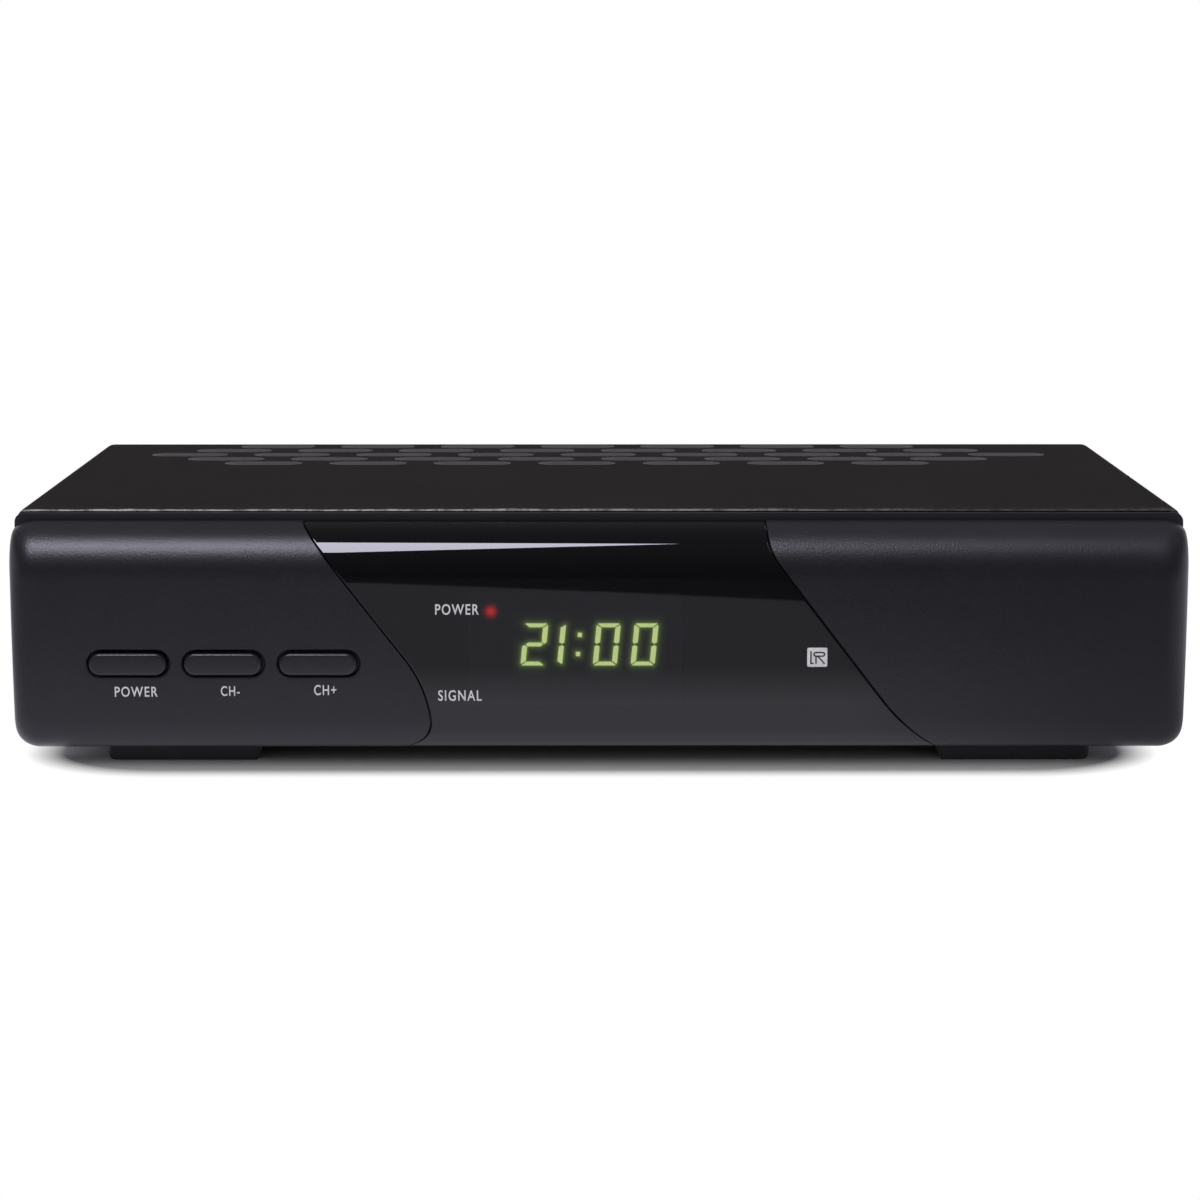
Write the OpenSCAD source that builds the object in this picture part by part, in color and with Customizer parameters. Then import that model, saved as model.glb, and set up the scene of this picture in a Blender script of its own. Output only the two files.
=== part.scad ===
// Digital television receiver: a folded steel box with a moulded fascia, a smoked display window,
// three push buttons, a front board, a main board and a power board.
// X runs to the viewer's right, Y from the fascia to the rear, Z up from the table.
// Inside the modules Y is measured from the fascia's foremost face.

/* [Enclosure] */
// Overall width, across the fascia
body_w = 220; // [210:1:260]
// Depth from the fascia's face to the rear edge of the cover
body_d = 131; // [124:1:180]
// Height from the table to the top of the cover
body_h = 47.7; // [45:0.1:60]
// Thickness of the steel sheet
sheet_t = 0.8; // [0.6:0.1:1.2]
// Outside radius of the sheet's bends
bend_r = 2.6; // [2:0.1:4]
// Clearance between the cover and what it slides over
cover_gap = 0.2; // [0.1:0.05:0.4]
// How far the cover's sides stand in from the fascia's sides
cover_step = 0.25; // [0.1:0.05:0.8]
// How far the rear wall stands in from the cover's rear edge
rear_inset = 0.5; // [0.2:0.1:2]
// How far the base's side flanges rise above their screws
side_flange_over = 3.4; // [2:0.1:8]
// Height of the base's front flange
front_flange_h = 11; // [9:1:16]

/* [Feet] */
// Height of the feet
foot_h = 3.6; // [2.5:0.1:8]
// Width of a foot
foot_w = 30; // [20:1:40]
// Depth of a foot
foot_d = 22; // [16:1:30]
// Distance from the fascia's side to a foot's outer side
foot_inset = 17; // [6:1:30]
// Distance from the fascia's face to the front feet
front_foot_back = 9; // [7:0.5:14]
// Distance from the cover's rear edge to the rear feet
rear_foot_back = 9; // [4:0.5:20]
// How far a foot's inner side slants in towards the table
foot_slant = 1.8; // [0:0.1:4]
// Rounding of a foot's outer lower edge
foot_round = 1.2; // [0.2:0.1:2]
// Radius of a foot's upright edges
foot_corner_r = 2.5; // [1:0.1:4]
// Radius of the peg that holds a foot in the base
peg_r = 2; // [1.5:0.1:3]
// How deep the peg is rooted in the foot
peg_root = 1; // [0.5:0.1:2]

/* [Fascia] */
// Depth of the fascia in front of the cover
fascia_d = 13; // [12.5:0.5:20]
// Thickness of the fascia's wall
fascia_wall = 2.6; // [2.2:0.1:3]
// Step from the top of the cover down to the top of the fascia
fascia_drop = 2.4; // [1.2:0.1:4]
// Height of the crown of the fascia's face
crown = 0.8; // [0.2:0.1:2]
// Rounding of the top front edge
top_round = 10; // [4:0.5:11]
// Rounding of the bottom front edge
bottom_round = 6.2; // [3:0.1:6.8]
// Rounding of the side front edges
side_round = 4; // [3:0.1:8]
// Rounding of the top corners, seen from the front
top_corner_r = 1.8; // [1:0.1:6]
// Rounding of the bottom corners, seen from the front
bottom_corner_r = 3.8; // [2:0.1:8]
// Length of the neck that plugs into the cover
neck_l = 4; // [3:0.5:8]
// Thickness of the neck's wall
neck_wall = 2; // [1.5:0.1:3]
// Radius of the corners inside the neck
neck_round = 1; // [0.5:0.1:2]
// Width of the shoulder that shows in front of the cover
shoulder = 1; // [0.4:0.1:1]
// Gap between the fascia and the sheet behind it
seam_gap = 0.1; // [0.05:0.05:0.4]

/* [Window] */
// Thickness of the window
window_t = 1.4; // [1:0.1:1.6]
// Width of the line between the window and the fascia
window_gap = 0.3; // [0.1:0.05:0.5]
// Room for adhesive behind the window
window_seat = 0.1; // [0.05:0.05:0.2]
// Place of the left edge's nose, right of the middle
window_left = -31.4; // [-40:0.2:-29]
// Height of the left nose above the fascia's underside
left_nose_h = 5.1; // [4.6:0.1:8]
// Lower radius of the left nose
left_nose_r = 4.7; // [3:0.1:5]
// Upper radius of the left nose
left_bend_r = 24; // [12:1:40]
// Angle at which the nose's two radii meet
left_turn = 8; // [2:1:15]
// Slope of the left edge from upright
left_slope = 38; // [25:1:45]
// Place of the right edge at the top of the fascia
window_right = 31.2; // [26:0.2:40]
// Radius of the right edge's upper bend
right_top_r = 12; // [6:0.5:20]
// Slope of the right edge from upright
right_slope = 37.4; // [30:0.2:45]
// Height above the fascia's underside where the lower bend starts
right_bend_h = 9.4; // [6:0.2:14]
// Radius of the right edge's lower bend
right_bend_r = 40; // [20:1:60]
// Angle that the right edge's lower bend turns through
right_turn = 18; // [8:1:24]

/* [Buttons] */
// Length of a button's cap
button_w = 14.4; // [10:0.1:15]
// Height of a button's cap
button_h = 4.1; // [3.4:0.1:6]
// Gap round a button in its hole
button_gap = 0.42; // [0.3:0.02:0.6]
// How far a button stands proud of the fascia
button_proud = 1; // [0.7:0.1:3]
// Travel of a button
button_travel = 0.5; // [0.3:0.05:0.6]
// Rounding of a button's front edge
button_round = 0.5; // [0.2:0.1:0.8]
// Distance between buttons
button_pitch = 17.7; // [17.5:0.1:20]
// Distance from the fascia's left end to the middle of the first button
button_in = 22.4; // [20:0.2:26]
// Height of the buttons above the fascia's underside
button_up = 16.3; // [14:0.1:22]
// Width of the flange that keeps a button in its hole
button_flange = 1; // [0.7:0.1:1.3]
// Thickness of that flange
button_flange_t = 0.9; // [0.6:0.1:1.2]
// Room between the fascia's wall and that flange
button_room = 0.5; // [0.4:0.05:0.7]

/* [Front board] */
// Thickness of the circuit boards
board_t = 1.6; // [1:0.1:2.4]
// Height of the front board
front_board_h = 27; // [26:0.5:29]
// Height of its lower edge above the fascia's underside
front_board_up = 5.4; // [5:0.1:6]
// How far the board reaches past the buttons and the infrared receiver
front_board_reach = 11; // [9:0.5:13]
// Room between the fascia's wall and the display's face
display_room = 0.4; // [0.3:0.1:1]
// Width, depth and height of the display module
display_size = [30.2, 7.2, 14]; // [5:0.1:40]
// How far the wall laps over the display's edges
display_lap = 1; // [0.6:0.1:1.2]
// Place of the display right of the middle
display_x = -1.9; // [-6:0.1:6]
// Height of the display above the fascia's underside
display_up = 19.5; // [17:0.1:21]
// Height of a digit
digit_h = 7.9; // [7:0.1:10]
// Width of a digit before slanting
digit_w = 4.5; // [3:0.1:5]
// Width of a lit bar
bar_w = 0.65; // [0.5:0.05:1.2]
// Thickness of a lit bar
bar_t = 0.2; // [0.1:0.05:0.3]
// Gap at each end of a lit bar
bar_gap = 0.14; // [0.05:0.01:0.2]
// Places of the digits right of the display's middle
digit_at = [-10.2, -6.9, 3.3, 10.35]; // [-12:0.05:12]
// Place of the colon right of the display's middle
colon_right = -1.9; // [-3:0.1:0]
// Places of the colon's dots above the display's middle
colon_up = [-1.8, 1.8]; // [-3:0.1:3]
// Side of a colon dot
dot_w = 0.75; // [0.5:0.05:1.2]
// Slant of the digits
digit_slant = 5.5; // [0:0.5:12]
// Place of the lamps left of the middle
lamp_left = 20.2; // [19.8:0.1:24]
// Height of the power lamp above the fascia's underside
power_lamp_up = 25.8; // [23:0.1:27]
// Height of the signal lamp above the fascia's underside
signal_lamp_up = 10.2; // [10:0.1:14]
// Radius of a lamp
lamp_r = 1.5; // [1:0.1:1.6]
// Gap round a lamp in its hole
lamp_gap = 0.4; // [0.2:0.1:0.6]
// Room between the window's seat and a lamp's tip
lamp_room = 0.3; // [0.2:0.1:0.6]
// Width of the rim round a lamp's base
lamp_rim = 0.3; // [0.2:0.1:0.4]
// Place of the infrared receiver right of the middle
eye_right = 40.6; // [36:0.2:41]
// Height of the infrared receiver above the fascia's underside
eye_up = 17.4; // [16:0.1:20]
// Width, depth and height of the infrared receiver
eye_size = [7, 4.4, 7]; // [3:0.1:9]
// Width, depth and height of a switch
switch_size = [6, 3.5, 6]; // [3:0.1:8]
// Radius of a switch's plunger
plunger_r = 1.75; // [1:0.05:2]
// How far the plunger stands out of the switch
plunger_out = 1.5; // [1:0.1:1.6]
// Running clearance round a plunger
plunger_gap = 0.35; // [0.3:0.05:0.5]
// Room behind a plunger that is pressed home
plunger_over = 0.4; // [0.2:0.1:0.5]
// Radius of the posts that carry the front board
post_r = 3; // [2.4:0.1:3.4]
// Distance from the front board's edges to its posts
post_in = 4; // [3.6:0.1:4.6]
// How deep those posts are rooted in the fascia's wall
post_root = 0.5; // [0.3:0.1:1]
// Radius of the posts that the fascia screws enter
fascia_post_r = 3.5; // [2.6:0.1:4]
// How deep the fascia posts sink into the neck's floor
fascia_post_root = 1; // [0.5:0.1:1.5]

/* [Vents] */
// Length of a vent slot
vent_l = 16.3; // [8:0.1:17]
// Width of a vent slot
vent_w = 7; // [1.5:0.1:7.4]
// Distance between slots in a row
vent_pitch = 22; // [20:0.5:23]
// Distance between rows
vent_row = 8.75; // [8.25:0.25:9]
// Rows on each side of the longest row
vent_side_rows = 2; // [0:1:2]
// Slots in the longest row
vent_count = 9; // [5:1:9]
// Distance from the cover's rear edge to the longest row
vent_from_rear = 22.3; // [22:0.1:40]

/* [Boards] */
// Height of the boards above the base's floor
board_rise = 6; // [4:0.5:9]
// Distance from a board to the base's side flange
board_edge = 3; // [2:0.5:6]
// Distance from a board to the rear wall
board_rear = 1.5; // [1:0.1:4]
// Gap between the main board and the power board
board_split = 4; // [3:0.5:8]
// Depth of the main board
main_board_d = 72; // [70:1:84]
// Width of the power board
power_board_w = 48; // [48:1:52]
// Depth of the power board
power_board_d = 88; // [88:1:96]
// Distance from a board's edges to its screws
board_screw_in = 5; // [4:0.5:5.5]
// Outside radius of a standoff
standoff_r = 2.6; // [2.2:0.1:3]
// Gap round a standoff in the insulating sheet
standoff_gap = 0.4; // [0.2:0.1:0.8]
// Thickness of the insulating sheet
insulator_t = 0.4; // [0.2:0.1:0.8]
// Height of the connectors on the boards
header_h = 8; // [6:0.5:10]
// Width and length of a connector
header_size = [5, 10]; // [4:0.5:12]
// Thickness of the cables between boards
cable_t = 1.2; // [0.8:0.1:1.6]
// Height of the ribbon cable above the main board
ribbon_up = 16; // [14.5:0.5:18]
// How far a cable's edges stand in from its connectors' ends
cable_in = 0.5; // [0.3:0.1:1.5]
// Radius of the ribbon cable's bend
ribbon_bend = 4; // [2:0.5:5]
// Distance from a board's edge to the middle of the power lead's header
lead_in = 4.5; // [3.5:0.1:6]
// Distance from the boards' rear edge to the power lead
lead_forward = 58; // [57:0.5:59]
// Gap between the power lead's header and the screw beside it
lead_room = 1.4; // [1:0.1:2]

/* [Rear sockets] */
// Clearance of the sockets in the rear wall
socket_gap = 0.4; // [0.2:0.1:0.8]
// Gap between the rear wall and the housings behind it
wall_room = 0.3; // [0.2:0.1:0.8]
// Width, depth and height of the tuner can
tuner_size = [42, 30, 14]; // [12:1:50]
// Distance from the main board's right edge to the tuner
tuner_in = 2; // [1:0.5:4]
// Radius of an aerial jack's thread
rf_r = 4.75; // [4:0.05:5.5]
// How far an aerial jack stands out of the rear wall
rf_reach = 11; // [8:0.5:14]
// Distance between the aerial jacks
rf_pitch = 21; // [16:0.5:24]
// How far a jack's neck through the rear wall is narrower than its shell
jack_neck = 0.4; // [0.2:0.1:0.8]
// How far a jack's neck stands out of the rear wall
jack_root = 0.5; // [0.2:0.1:1]
// Radius of an aerial jack's contact hole
rf_hole_r = 1; // [0.6:0.1:1.5]
// Width, depth and height of the audio and video socket
scart_size = [52, 16, 17]; // [12:0.5:54]
// How far the audio and video socket stands out of the rear wall
scart_reach = 1; // [0.5:0.1:3]
// Width of that socket's rim round its groove
scart_rim = 2.5; // [2:0.1:3]
// Width of that groove
scart_groove = 1.7; // [1:0.1:2]
// Distance between the contacts in a row
contact_pitch = 3.8; // [3.5:0.1:4]
// Height of a row of contacts above or below the socket's middle
contact_row = 1.9; // [1.5:0.1:2.2]
// Width and height of a contact's slot
contact_size = [0.9, 2]; // [0.5:0.1:2.5]
// Width, depth and height of the digital audio jack's housing
audio_size = [11, 13, 12]; // [9:0.5:14]
// Radius of the digital audio jack's shell
audio_r = 4.15; // [3.8:0.05:4.5]
// Radius of the digital audio jack's contact hole
audio_hole_r = 1.6; // [1:0.1:2]
// How far the digital audio jack stands out of the rear wall
audio_reach = 9; // [6:0.5:10.5]
// Width, depth and height of the HDMI socket
hdmi_size = [15.2, 11.5, 6.2]; // [5:0.1:16]
// How far the HDMI socket stands out of the rear wall
hdmi_reach = 0.6; // [0.3:0.1:2]
// Width, depth and height of the mains inlet's housing
inlet_size = [20, 16, 16]; // [12:0.5:22]
// How far the mains inlet's rim stands out of the rear wall
inlet_reach = 1.5; // [1:0.1:3]
// Distance between the mains inlet's pins
inlet_pitch = 8.6; // [8.6:0.1:9]
// Radius of the mains inlet's pins
inlet_pin_r = 1.2; // [1:0.05:1.3]
// Width of the mains inlet's rim above and below its recess
inlet_rim = 3; // [2.5:0.1:4]
// How far the mains inlet's pins end short of its rim
pin_short = 2; // [1:0.1:4]
// Depth of the mains inlet's recess
inlet_deep = 12; // [8:0.5:13]
// Distance from the power board's left edge to the mains inlet
inlet_in = 11; // [8.5:0.5:14]
// Gap between the tuner and the audio and video socket
socket_room = 9; // [8:0.5:10]
// Gap between the other sockets
socket_space = 4; // [3:0.5:5]
// Gap between the HDMI socket and the main board's left edge
socket_end = 18.7; // [16:0.1:22]

/* [Main board parts] */
// Gap between the processor and the ribbon cable's header
processor_room = 2; // [1:0.5:5]
// Width, depth and height of the processor
processor_size = [27, 27, 2]; // [1:0.5:30]
// Height of the heat sink
heat_sink_h = 10; // [5:0.5:16]
// Fins of the heat sink
heat_sink_fins = 7; // [3:1:9]
// Width, depth and height of the memory chip
memory_size = [10, 22, 1.2]; // [1:0.1:24]
// Width, depth and height of the flash chip
flash_size = [8, 6, 1.8]; // [1:0.1:10]
// Length, width and height of the crystal
crystal_size = [11, 4.6, 3.6]; // [2:0.1:12]
// Radius of the capacitors on the main board
small_cap_r = 3.2; // [2:0.1:4]
// Height of the capacitors on the main board
small_cap_h = 11; // [5:0.5:16]
// Distance between those capacitors
small_cap_pitch = 9; // [8.5:0.5:10]

/* [Power board parts] */
// Place of the fuse: across from the board's left edge, forward from its rear edge
fuse_at = [39, 24]; // [0:0.5:88]
// Radius of the fuse
fuse_r = 2.6; // [2:0.1:3]
// Length of the fuse
fuse_l = 22; // [18:0.5:22]
// Place of the mains capacitor
mains_cap_at = [15, 25]; // [0:0.5:88]
// Width, depth and height of the mains capacitor
mains_cap_size = [18, 8, 14]; // [4:0.5:20]
// Place of the line filter choke
choke_at = [16, 39]; // [0:0.5:88]
// Width, depth and height of the choke's core
choke_size = [18, 6, 17]; // [4:0.5:20]
// Place of the reservoir capacitor
reservoir_at = [38, 44]; // [0:0.5:88]
// Radius of the reservoir capacitor
reservoir_r = 7.8; // [5:0.1:8]
// Height of the reservoir capacitor
reservoir_h = 24; // [15:0.5:28]
// Place of the transformer
transformer_at = [18, 67]; // [0:0.5:88]
// Width, depth and height of the transformer
transformer_size = [24, 22, 22]; // [10:0.5:24]
// Gap between the transformer and the switching transistor
power_sink_room = 1; // [0.5:0.5:2]
// Width, depth and height of the power heat sink's plate
power_sink_size = [2, 14, 22]; // [1:0.5:26]
// Width and depth of that plate's side fins
power_fin_size = [3, 1.6]; // [1:0.1:4]
// Width, depth and height of the switching transistor
transistor_size = [4.5, 10, 18]; // [3:0.5:20]
// Radius of the output capacitors
output_cap_r = 3.6; // [2:0.1:4]
// Height of the output capacitors
output_cap_h = 13; // [8:0.5:18]
// Distance between the output capacitors
output_cap_pitch = 9; // [8.5:0.1:9.5]

/* [Fasteners] */
// Radius of a screw's shank
screw_r = 1.25; // [1:0.05:1.4]
// Radius of a screw's head
screw_head_r = 2.6; // [2:0.1:2.8]
// Height of a screw's head
screw_head_h = 1.6; // [1:0.1:2]
// Length of a screw's shank
screw_l = 5; // [4:0.1:5.5]
// Clearance round a screw's shank
screw_gap = 0.15; // [0.1:0.05:0.3]
// Height of the cover screws' shanks above the boards
cover_screw_up = 1.4; // [1.2:0.1:3]
// Distance from the cover's front edge to its first screws
cover_screw_front = 26; // [20:1:40]
// Distance from the rear wall to the cover's last screws
cover_screw_rear = 20; // [14:1:30]

/* [Hidden] */
$fn = 48;
crown_fn = 720;
// How far a cutter runs past the face that it opens
cut = 1;
arc_steps = 10;

// Levels above the table
z_bottom = foot_h;
z_floor = z_bottom + sheet_t;
z_fascia = body_h - fascia_drop;
z_mid = (z_bottom + z_fascia) / 2;
z_board = z_floor + board_rise;
z_top = z_board + board_t;
z_cover_in = body_h - sheet_t;
z_rear_wall = z_cover_in - cover_gap;

// Widths of the box, and depths from the fascia's face
cover_w = body_w - 2 * cover_step;
base_w = cover_w - 2 * sheet_t - 2 * cover_gap;
base_in = base_w / 2 - sheet_t;
cover_y = fascia_d + seam_gap;
neck_front = fascia_d - shoulder;
neck_end = fascia_d + neck_l;
rear_out = body_d - rear_inset;
rear_in = rear_out - sheet_t;
total_d = button_proud + rear_out + rf_reach;
y_face = button_proud - total_d / 2;
crown_r = (pow((z_fascia - z_bottom) / 2, 2) + crown * crown) / (2 * crown);
wall_r = 0.4;

// Front board and what it carries
button_z = z_bottom + button_up;
button_x = [for (i = [0 : 2]) -body_w / 2 + button_in + i * button_pitch];
display_z = z_bottom + display_up;
display_y = fascia_wall + display_room;
front_y = display_y + display_size[1];
front_x = [button_x[0] - front_board_reach, eye_right + front_board_reach];
front_z = [z_bottom + front_board_up, z_bottom + front_board_up + front_board_h];
eye_z = z_bottom + eye_up;
switch_y = front_y - switch_size[1];
plunger_y = switch_y - plunger_out;
flange_y = fascia_wall + button_room;
post_places = [for (x = [front_x[0] + post_in, front_x[1] - post_in])
    for (z = [front_z[0] + post_in, front_z[1] - post_in]) [x, z]];
fascia_post_z = z_floor + neck_wall + fascia_post_r - fascia_post_root;
fascia_post_x = body_w / 2 - foot_inset - foot_w / 2;

// Boards
board_back = rear_in - board_rear;
power_x = -base_in + board_edge;
power_end = power_x + power_board_w;
main_x = power_end + board_split;
main_end = base_in - board_edge;
ribbon_x = display_x + display_size[0] / 2;

// Rear sockets, from the right end of the main board, with their gaps fitted to its width
socket_widths = tuner_size[0] + scart_size[0] + audio_size[0] + hdmi_size[0];
socket_free = main_end - main_x - tuner_in - socket_widths;
socket_fit = socket_free / (socket_room + 2 * socket_space + socket_end);
tuner_x = main_end - tuner_in - tuner_size[0] / 2;
scart_x = tuner_x - tuner_size[0] / 2 - socket_room * socket_fit - scart_size[0] / 2;
audio_x = scart_x - scart_size[0] / 2 - socket_space * socket_fit - audio_size[0] / 2;
hdmi_x = audio_x - audio_size[0] / 2 - socket_space * socket_fit - hdmi_size[0] / 2;
inlet_x = power_x + inlet_in + inlet_size[0] / 2;
rf_z = z_top + tuner_size[2] / 2;
audio_z = z_top + audio_size[2] / 2;
socket_y = rear_in - wall_room;

// Places of the screws that hold the boards
main_posts = [[main_x + board_screw_in, board_back - board_screw_in],
    [main_x + lead_in + header_size[0] / 2 + lead_room + screw_head_r,
        board_back - main_board_d + board_screw_in],
    [main_end - board_screw_in, board_back - main_board_d + board_screw_in],
    [main_end - board_screw_in, socket_y - tuner_size[1] - board_screw_in]];
power_posts = [for (x = [power_x + board_screw_in, power_end - board_screw_in])
    for (y = [board_back - board_screw_in, board_back - power_board_d + board_screw_in]) [x, y]];

// Screws in the cover's sides, above the boards, and the flanges that they enter
cover_screw_z = z_top + screw_r + cover_screw_up;
cover_screw_y = [cover_y + cover_screw_front, rear_out - cover_screw_rear];
side_flange_h = cover_screw_z + side_flange_over - z_bottom;

// Colours
steel_black = [0.10, 0.10, 0.10];
plain_steel = [0.62, 0.63, 0.64];
black_plastic = [0.15, 0.145, 0.17];
smoked = [0.06, 0.06, 0.07];
board_green = [0.05, 0.30, 0.16];
chip_black = [0.12, 0.12, 0.13];
aluminium = [0.72, 0.73, 0.75];
nickel = [0.75, 0.74, 0.70];
cream = [0.90, 0.88, 0.80];

// Shifts a piece from the fascia's face to the part's own frame
module seated() {
    translate([0, y_face, 0]) children();
}

// Extrudes an outline drawn in X and Z along Y
module along_y(y0, y1) {
    translate([0, y1, 0]) rotate([90, 0, 0]) linear_extrude(y1 - y0) children();
}

// Extrudes an outline drawn in Y and Z along X
module along_x(x0, x1) {
    translate([x0, 0, 0]) rotate([90, 0, 90]) linear_extrude(x1 - x0) children();
}

// A round bar along Y
module rod_y(x, z, y0, y1, r) {
    translate([x, y0, z]) rotate([-90, 0, 0]) cylinder(r = r, h = y1 - y0);
}

// A block given by its two opposite corners
module block(lo, hi) {
    translate(lo) cube(hi - lo);
}

// A block that stands on the main or power board, centred on x and y
module on_board(x, y, size) {
    translate([x - size[0] / 2, y - size[1] / 2, z_top]) cube(size);
}

// What a rounded corner takes off a rectangle
module corner_cut(at, into, r) {
    if (r > 0) {
        far = at - into * cut;
        near = at + into * r;
        difference() {
            polygon([far, [near[0], far[1]], near, [far[0], near[1]]]);
            translate(near) circle(r);
        }
    }
}

// A rectangle with its own radius at each corner: low left, low right, high right, high left
module round_rect(lo, hi, radii) {
    difference() {
        translate(lo) square(hi - lo);
        corner_cut(lo, [1, 1], radii[0]);
        corner_cut([hi[0], lo[1]], [-1, 1], radii[1]);
        corner_cut(hi, [-1, -1], radii[2]);
        corner_cut([lo[0], hi[1]], [1, -1], radii[3]);
    }
}

// A bar with round ends, centred
module obround(w, h) {
    square([w - h, h], center = true);
    for (side = [-1, 1]) {
        translate([side * (w - h) / 2, 0]) circle(h / 2);
    }
}

// Radius left of a rounding r at a depth d inside the surface
function inner_r(r, d) = max(r - d, wall_r);

// The fascia's outer form, taken in by d on every side and cut off at depth back
module form(d, back) {
    half = body_w / 2 - d;
    intersection() {
        along_x(-half, half) intersection() {
            round_rect([d, z_bottom + d], [back, z_fascia - d],
                [inner_r(bottom_round, d), 0, 0, inner_r(top_round, d)]);
            translate([crown_r, z_mid]) circle(crown_r - d, $fn = crown_fn);
        }
        along_y(-cut, back + cut) round_rect([-half, z_bottom + d], [half, z_fascia - d],
            [inner_r(bottom_corner_r, d), inner_r(bottom_corner_r, d),
             inner_r(top_corner_r, d), inner_r(top_corner_r, d)]);
        linear_extrude(body_h) round_rect([-half, d], [half, back + cut],
            [inner_r(side_round, d), inner_r(side_round, d), 0, 0]);
    }
}

// Points of an arc, and the unit vector at an angle
function arc(c, r, a0, a1) =
    [for (i = [0 : arc_steps]) c + r * ray(a0 + (a1 - a0) * i / arc_steps)];
function ray(a) = [cos(a), sin(a)];

// The window's left edge from top to bottom, moved by d towards the window
function left_edge(d) =
    let (low = [window_left - left_nose_r, z_bottom + left_nose_h],
         high = low - (left_bend_r - left_nose_r) * ray(left_turn),
         start = high + (left_bend_r + d) * ray(left_slope),
         end_angle = -60,
         end = low + (left_nose_r + d) * ray(end_angle),
         rise = (body_h - start[1]) / cos(left_slope),
         fall = end[1] / cos(end_angle))
    concat([start + rise * ray(left_slope + 90)],
        arc(high, left_bend_r + d, left_slope, left_turn),
        arc(low, left_nose_r + d, left_turn, end_angle),
        [end + fall * ray(end_angle - 90)]);

// The window's right edge from top to bottom, moved by d towards the window
function right_edge(d) =
    let (top = [window_right + right_top_r, z_fascia],
         a = 180 + right_slope,
         top_end = top + right_top_r * ray(a),
         run = (top_end[1] - z_bottom - right_bend_h) / cos(right_slope),
         bend = top_end + run * ray(a + 90) - right_bend_r * ray(a),
         last = a + right_turn,
         end = bend + (right_bend_r + d) * ray(last),
         fall = end[1] / cos(last + 180))
    concat([[window_right - d, body_h]],
        arc(top, right_top_r + d, 180, a),
        arc(bend, right_bend_r + d, a, last),
        [end + fall * ray(last + 90)]);

function reversed(points) = [for (i = [len(points) - 1 : -1 : 0]) points[i]];

// A prism through the window's outline, taken in by d, from before the face to depth back
module window_prism(d, back) {
    along_y(-cut, back) polygon(concat(left_edge(d), reversed(right_edge(d))));
}

// A screw along Z, head up, with a cross recess
module screw() {
    slot = screw_head_r * 0.3;
    reach = screw_head_r * 0.6;
    slot_floor = screw_head_h * 0.4;
    difference() {
        union() {
            cylinder(r = screw_head_r, h = screw_head_h);
            translate([0, 0, -screw_l]) cylinder(r = screw_r, h = screw_l + screw_head_h / 2);
        }
        for (turn = [0, 90]) {
            rotate(turn) translate([-reach, -slot / 2, slot_floor])
                cube([2 * reach, slot, screw_head_h]);
        }
    }
}

// The folded steel box: floor, side flanges, front flange and rear wall
module base_chassis() {
    color(plain_steel) seated() difference() {
        union() {
            base_tray();
            base_rear_wall();
        }
        for (x = [-1, 1]) {
            for (y = [front_peg_y(), rear_peg_y()]) {
                translate([x * foot_centre(), y, 0])
                    cylinder(r = peg_r + screw_gap, h = z_floor + cut);
            }
            rod_y(x * fascia_post_x, fascia_post_z, neck_end - cut, neck_end + sheet_t + cut,
                screw_r + screw_gap);
            for (y = cover_screw_y) {
                translate([x * base_w / 2, y, cover_screw_z]) rotate([0, 90, 0])
                    cylinder(r = screw_r + screw_gap, h = 4 * sheet_t, center = true);
            }
        }
    }
}

module base_tray() {
    lip = bend_r - sheet_t;
    inner_lip = max(lip - sheet_t, wall_r);
    difference() {
        along_y(neck_end, rear_in) round_rect([-base_w / 2, z_bottom],
            [base_w / 2, z_bottom + side_flange_h], [lip, lip, 0, 0]);
        along_y(neck_end + sheet_t, rear_in + cut) round_rect([-base_in, z_floor],
            [base_in, z_bottom + side_flange_h + cut], [inner_lip, inner_lip, 0, 0]);
        block([-body_w, neck_end - cut, z_bottom + front_flange_h],
            [body_w, neck_end + sheet_t, z_bottom + side_flange_h + cut]);
    }
    block([-base_in, cover_y, z_bottom], [base_in, neck_end + sheet_t, z_floor]);
}

module base_rear_wall() {
    top_r = bend_r - sheet_t;
    difference() {
        along_y(rear_in, rear_out) round_rect([-base_w / 2, z_bottom], [base_w / 2, z_rear_wall],
            [0, 0, top_r, top_r]);
        for (x = [tuner_x - rf_pitch / 2, tuner_x + rf_pitch / 2]) {
            rod_y(x, rf_z, rear_in - cut, rear_out + cut, rf_r + socket_gap);
        }
        rod_y(audio_x, audio_z, rear_in - cut, rear_out + cut, audio_r + socket_gap);
        wall_hole(scart_x, scart_size);
        wall_hole(hdmi_x, hdmi_size);
        wall_hole(inlet_x, inlet_size);
    }
}

// A hole in the rear wall for a socket of this size on the board
module wall_hole(x, size) {
    block([x - size[0] / 2 - socket_gap, rear_in - cut, z_top - socket_gap],
        [x + size[0] / 2 + socket_gap, rear_out + cut, z_top + size[2] + socket_gap]);
}

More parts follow.
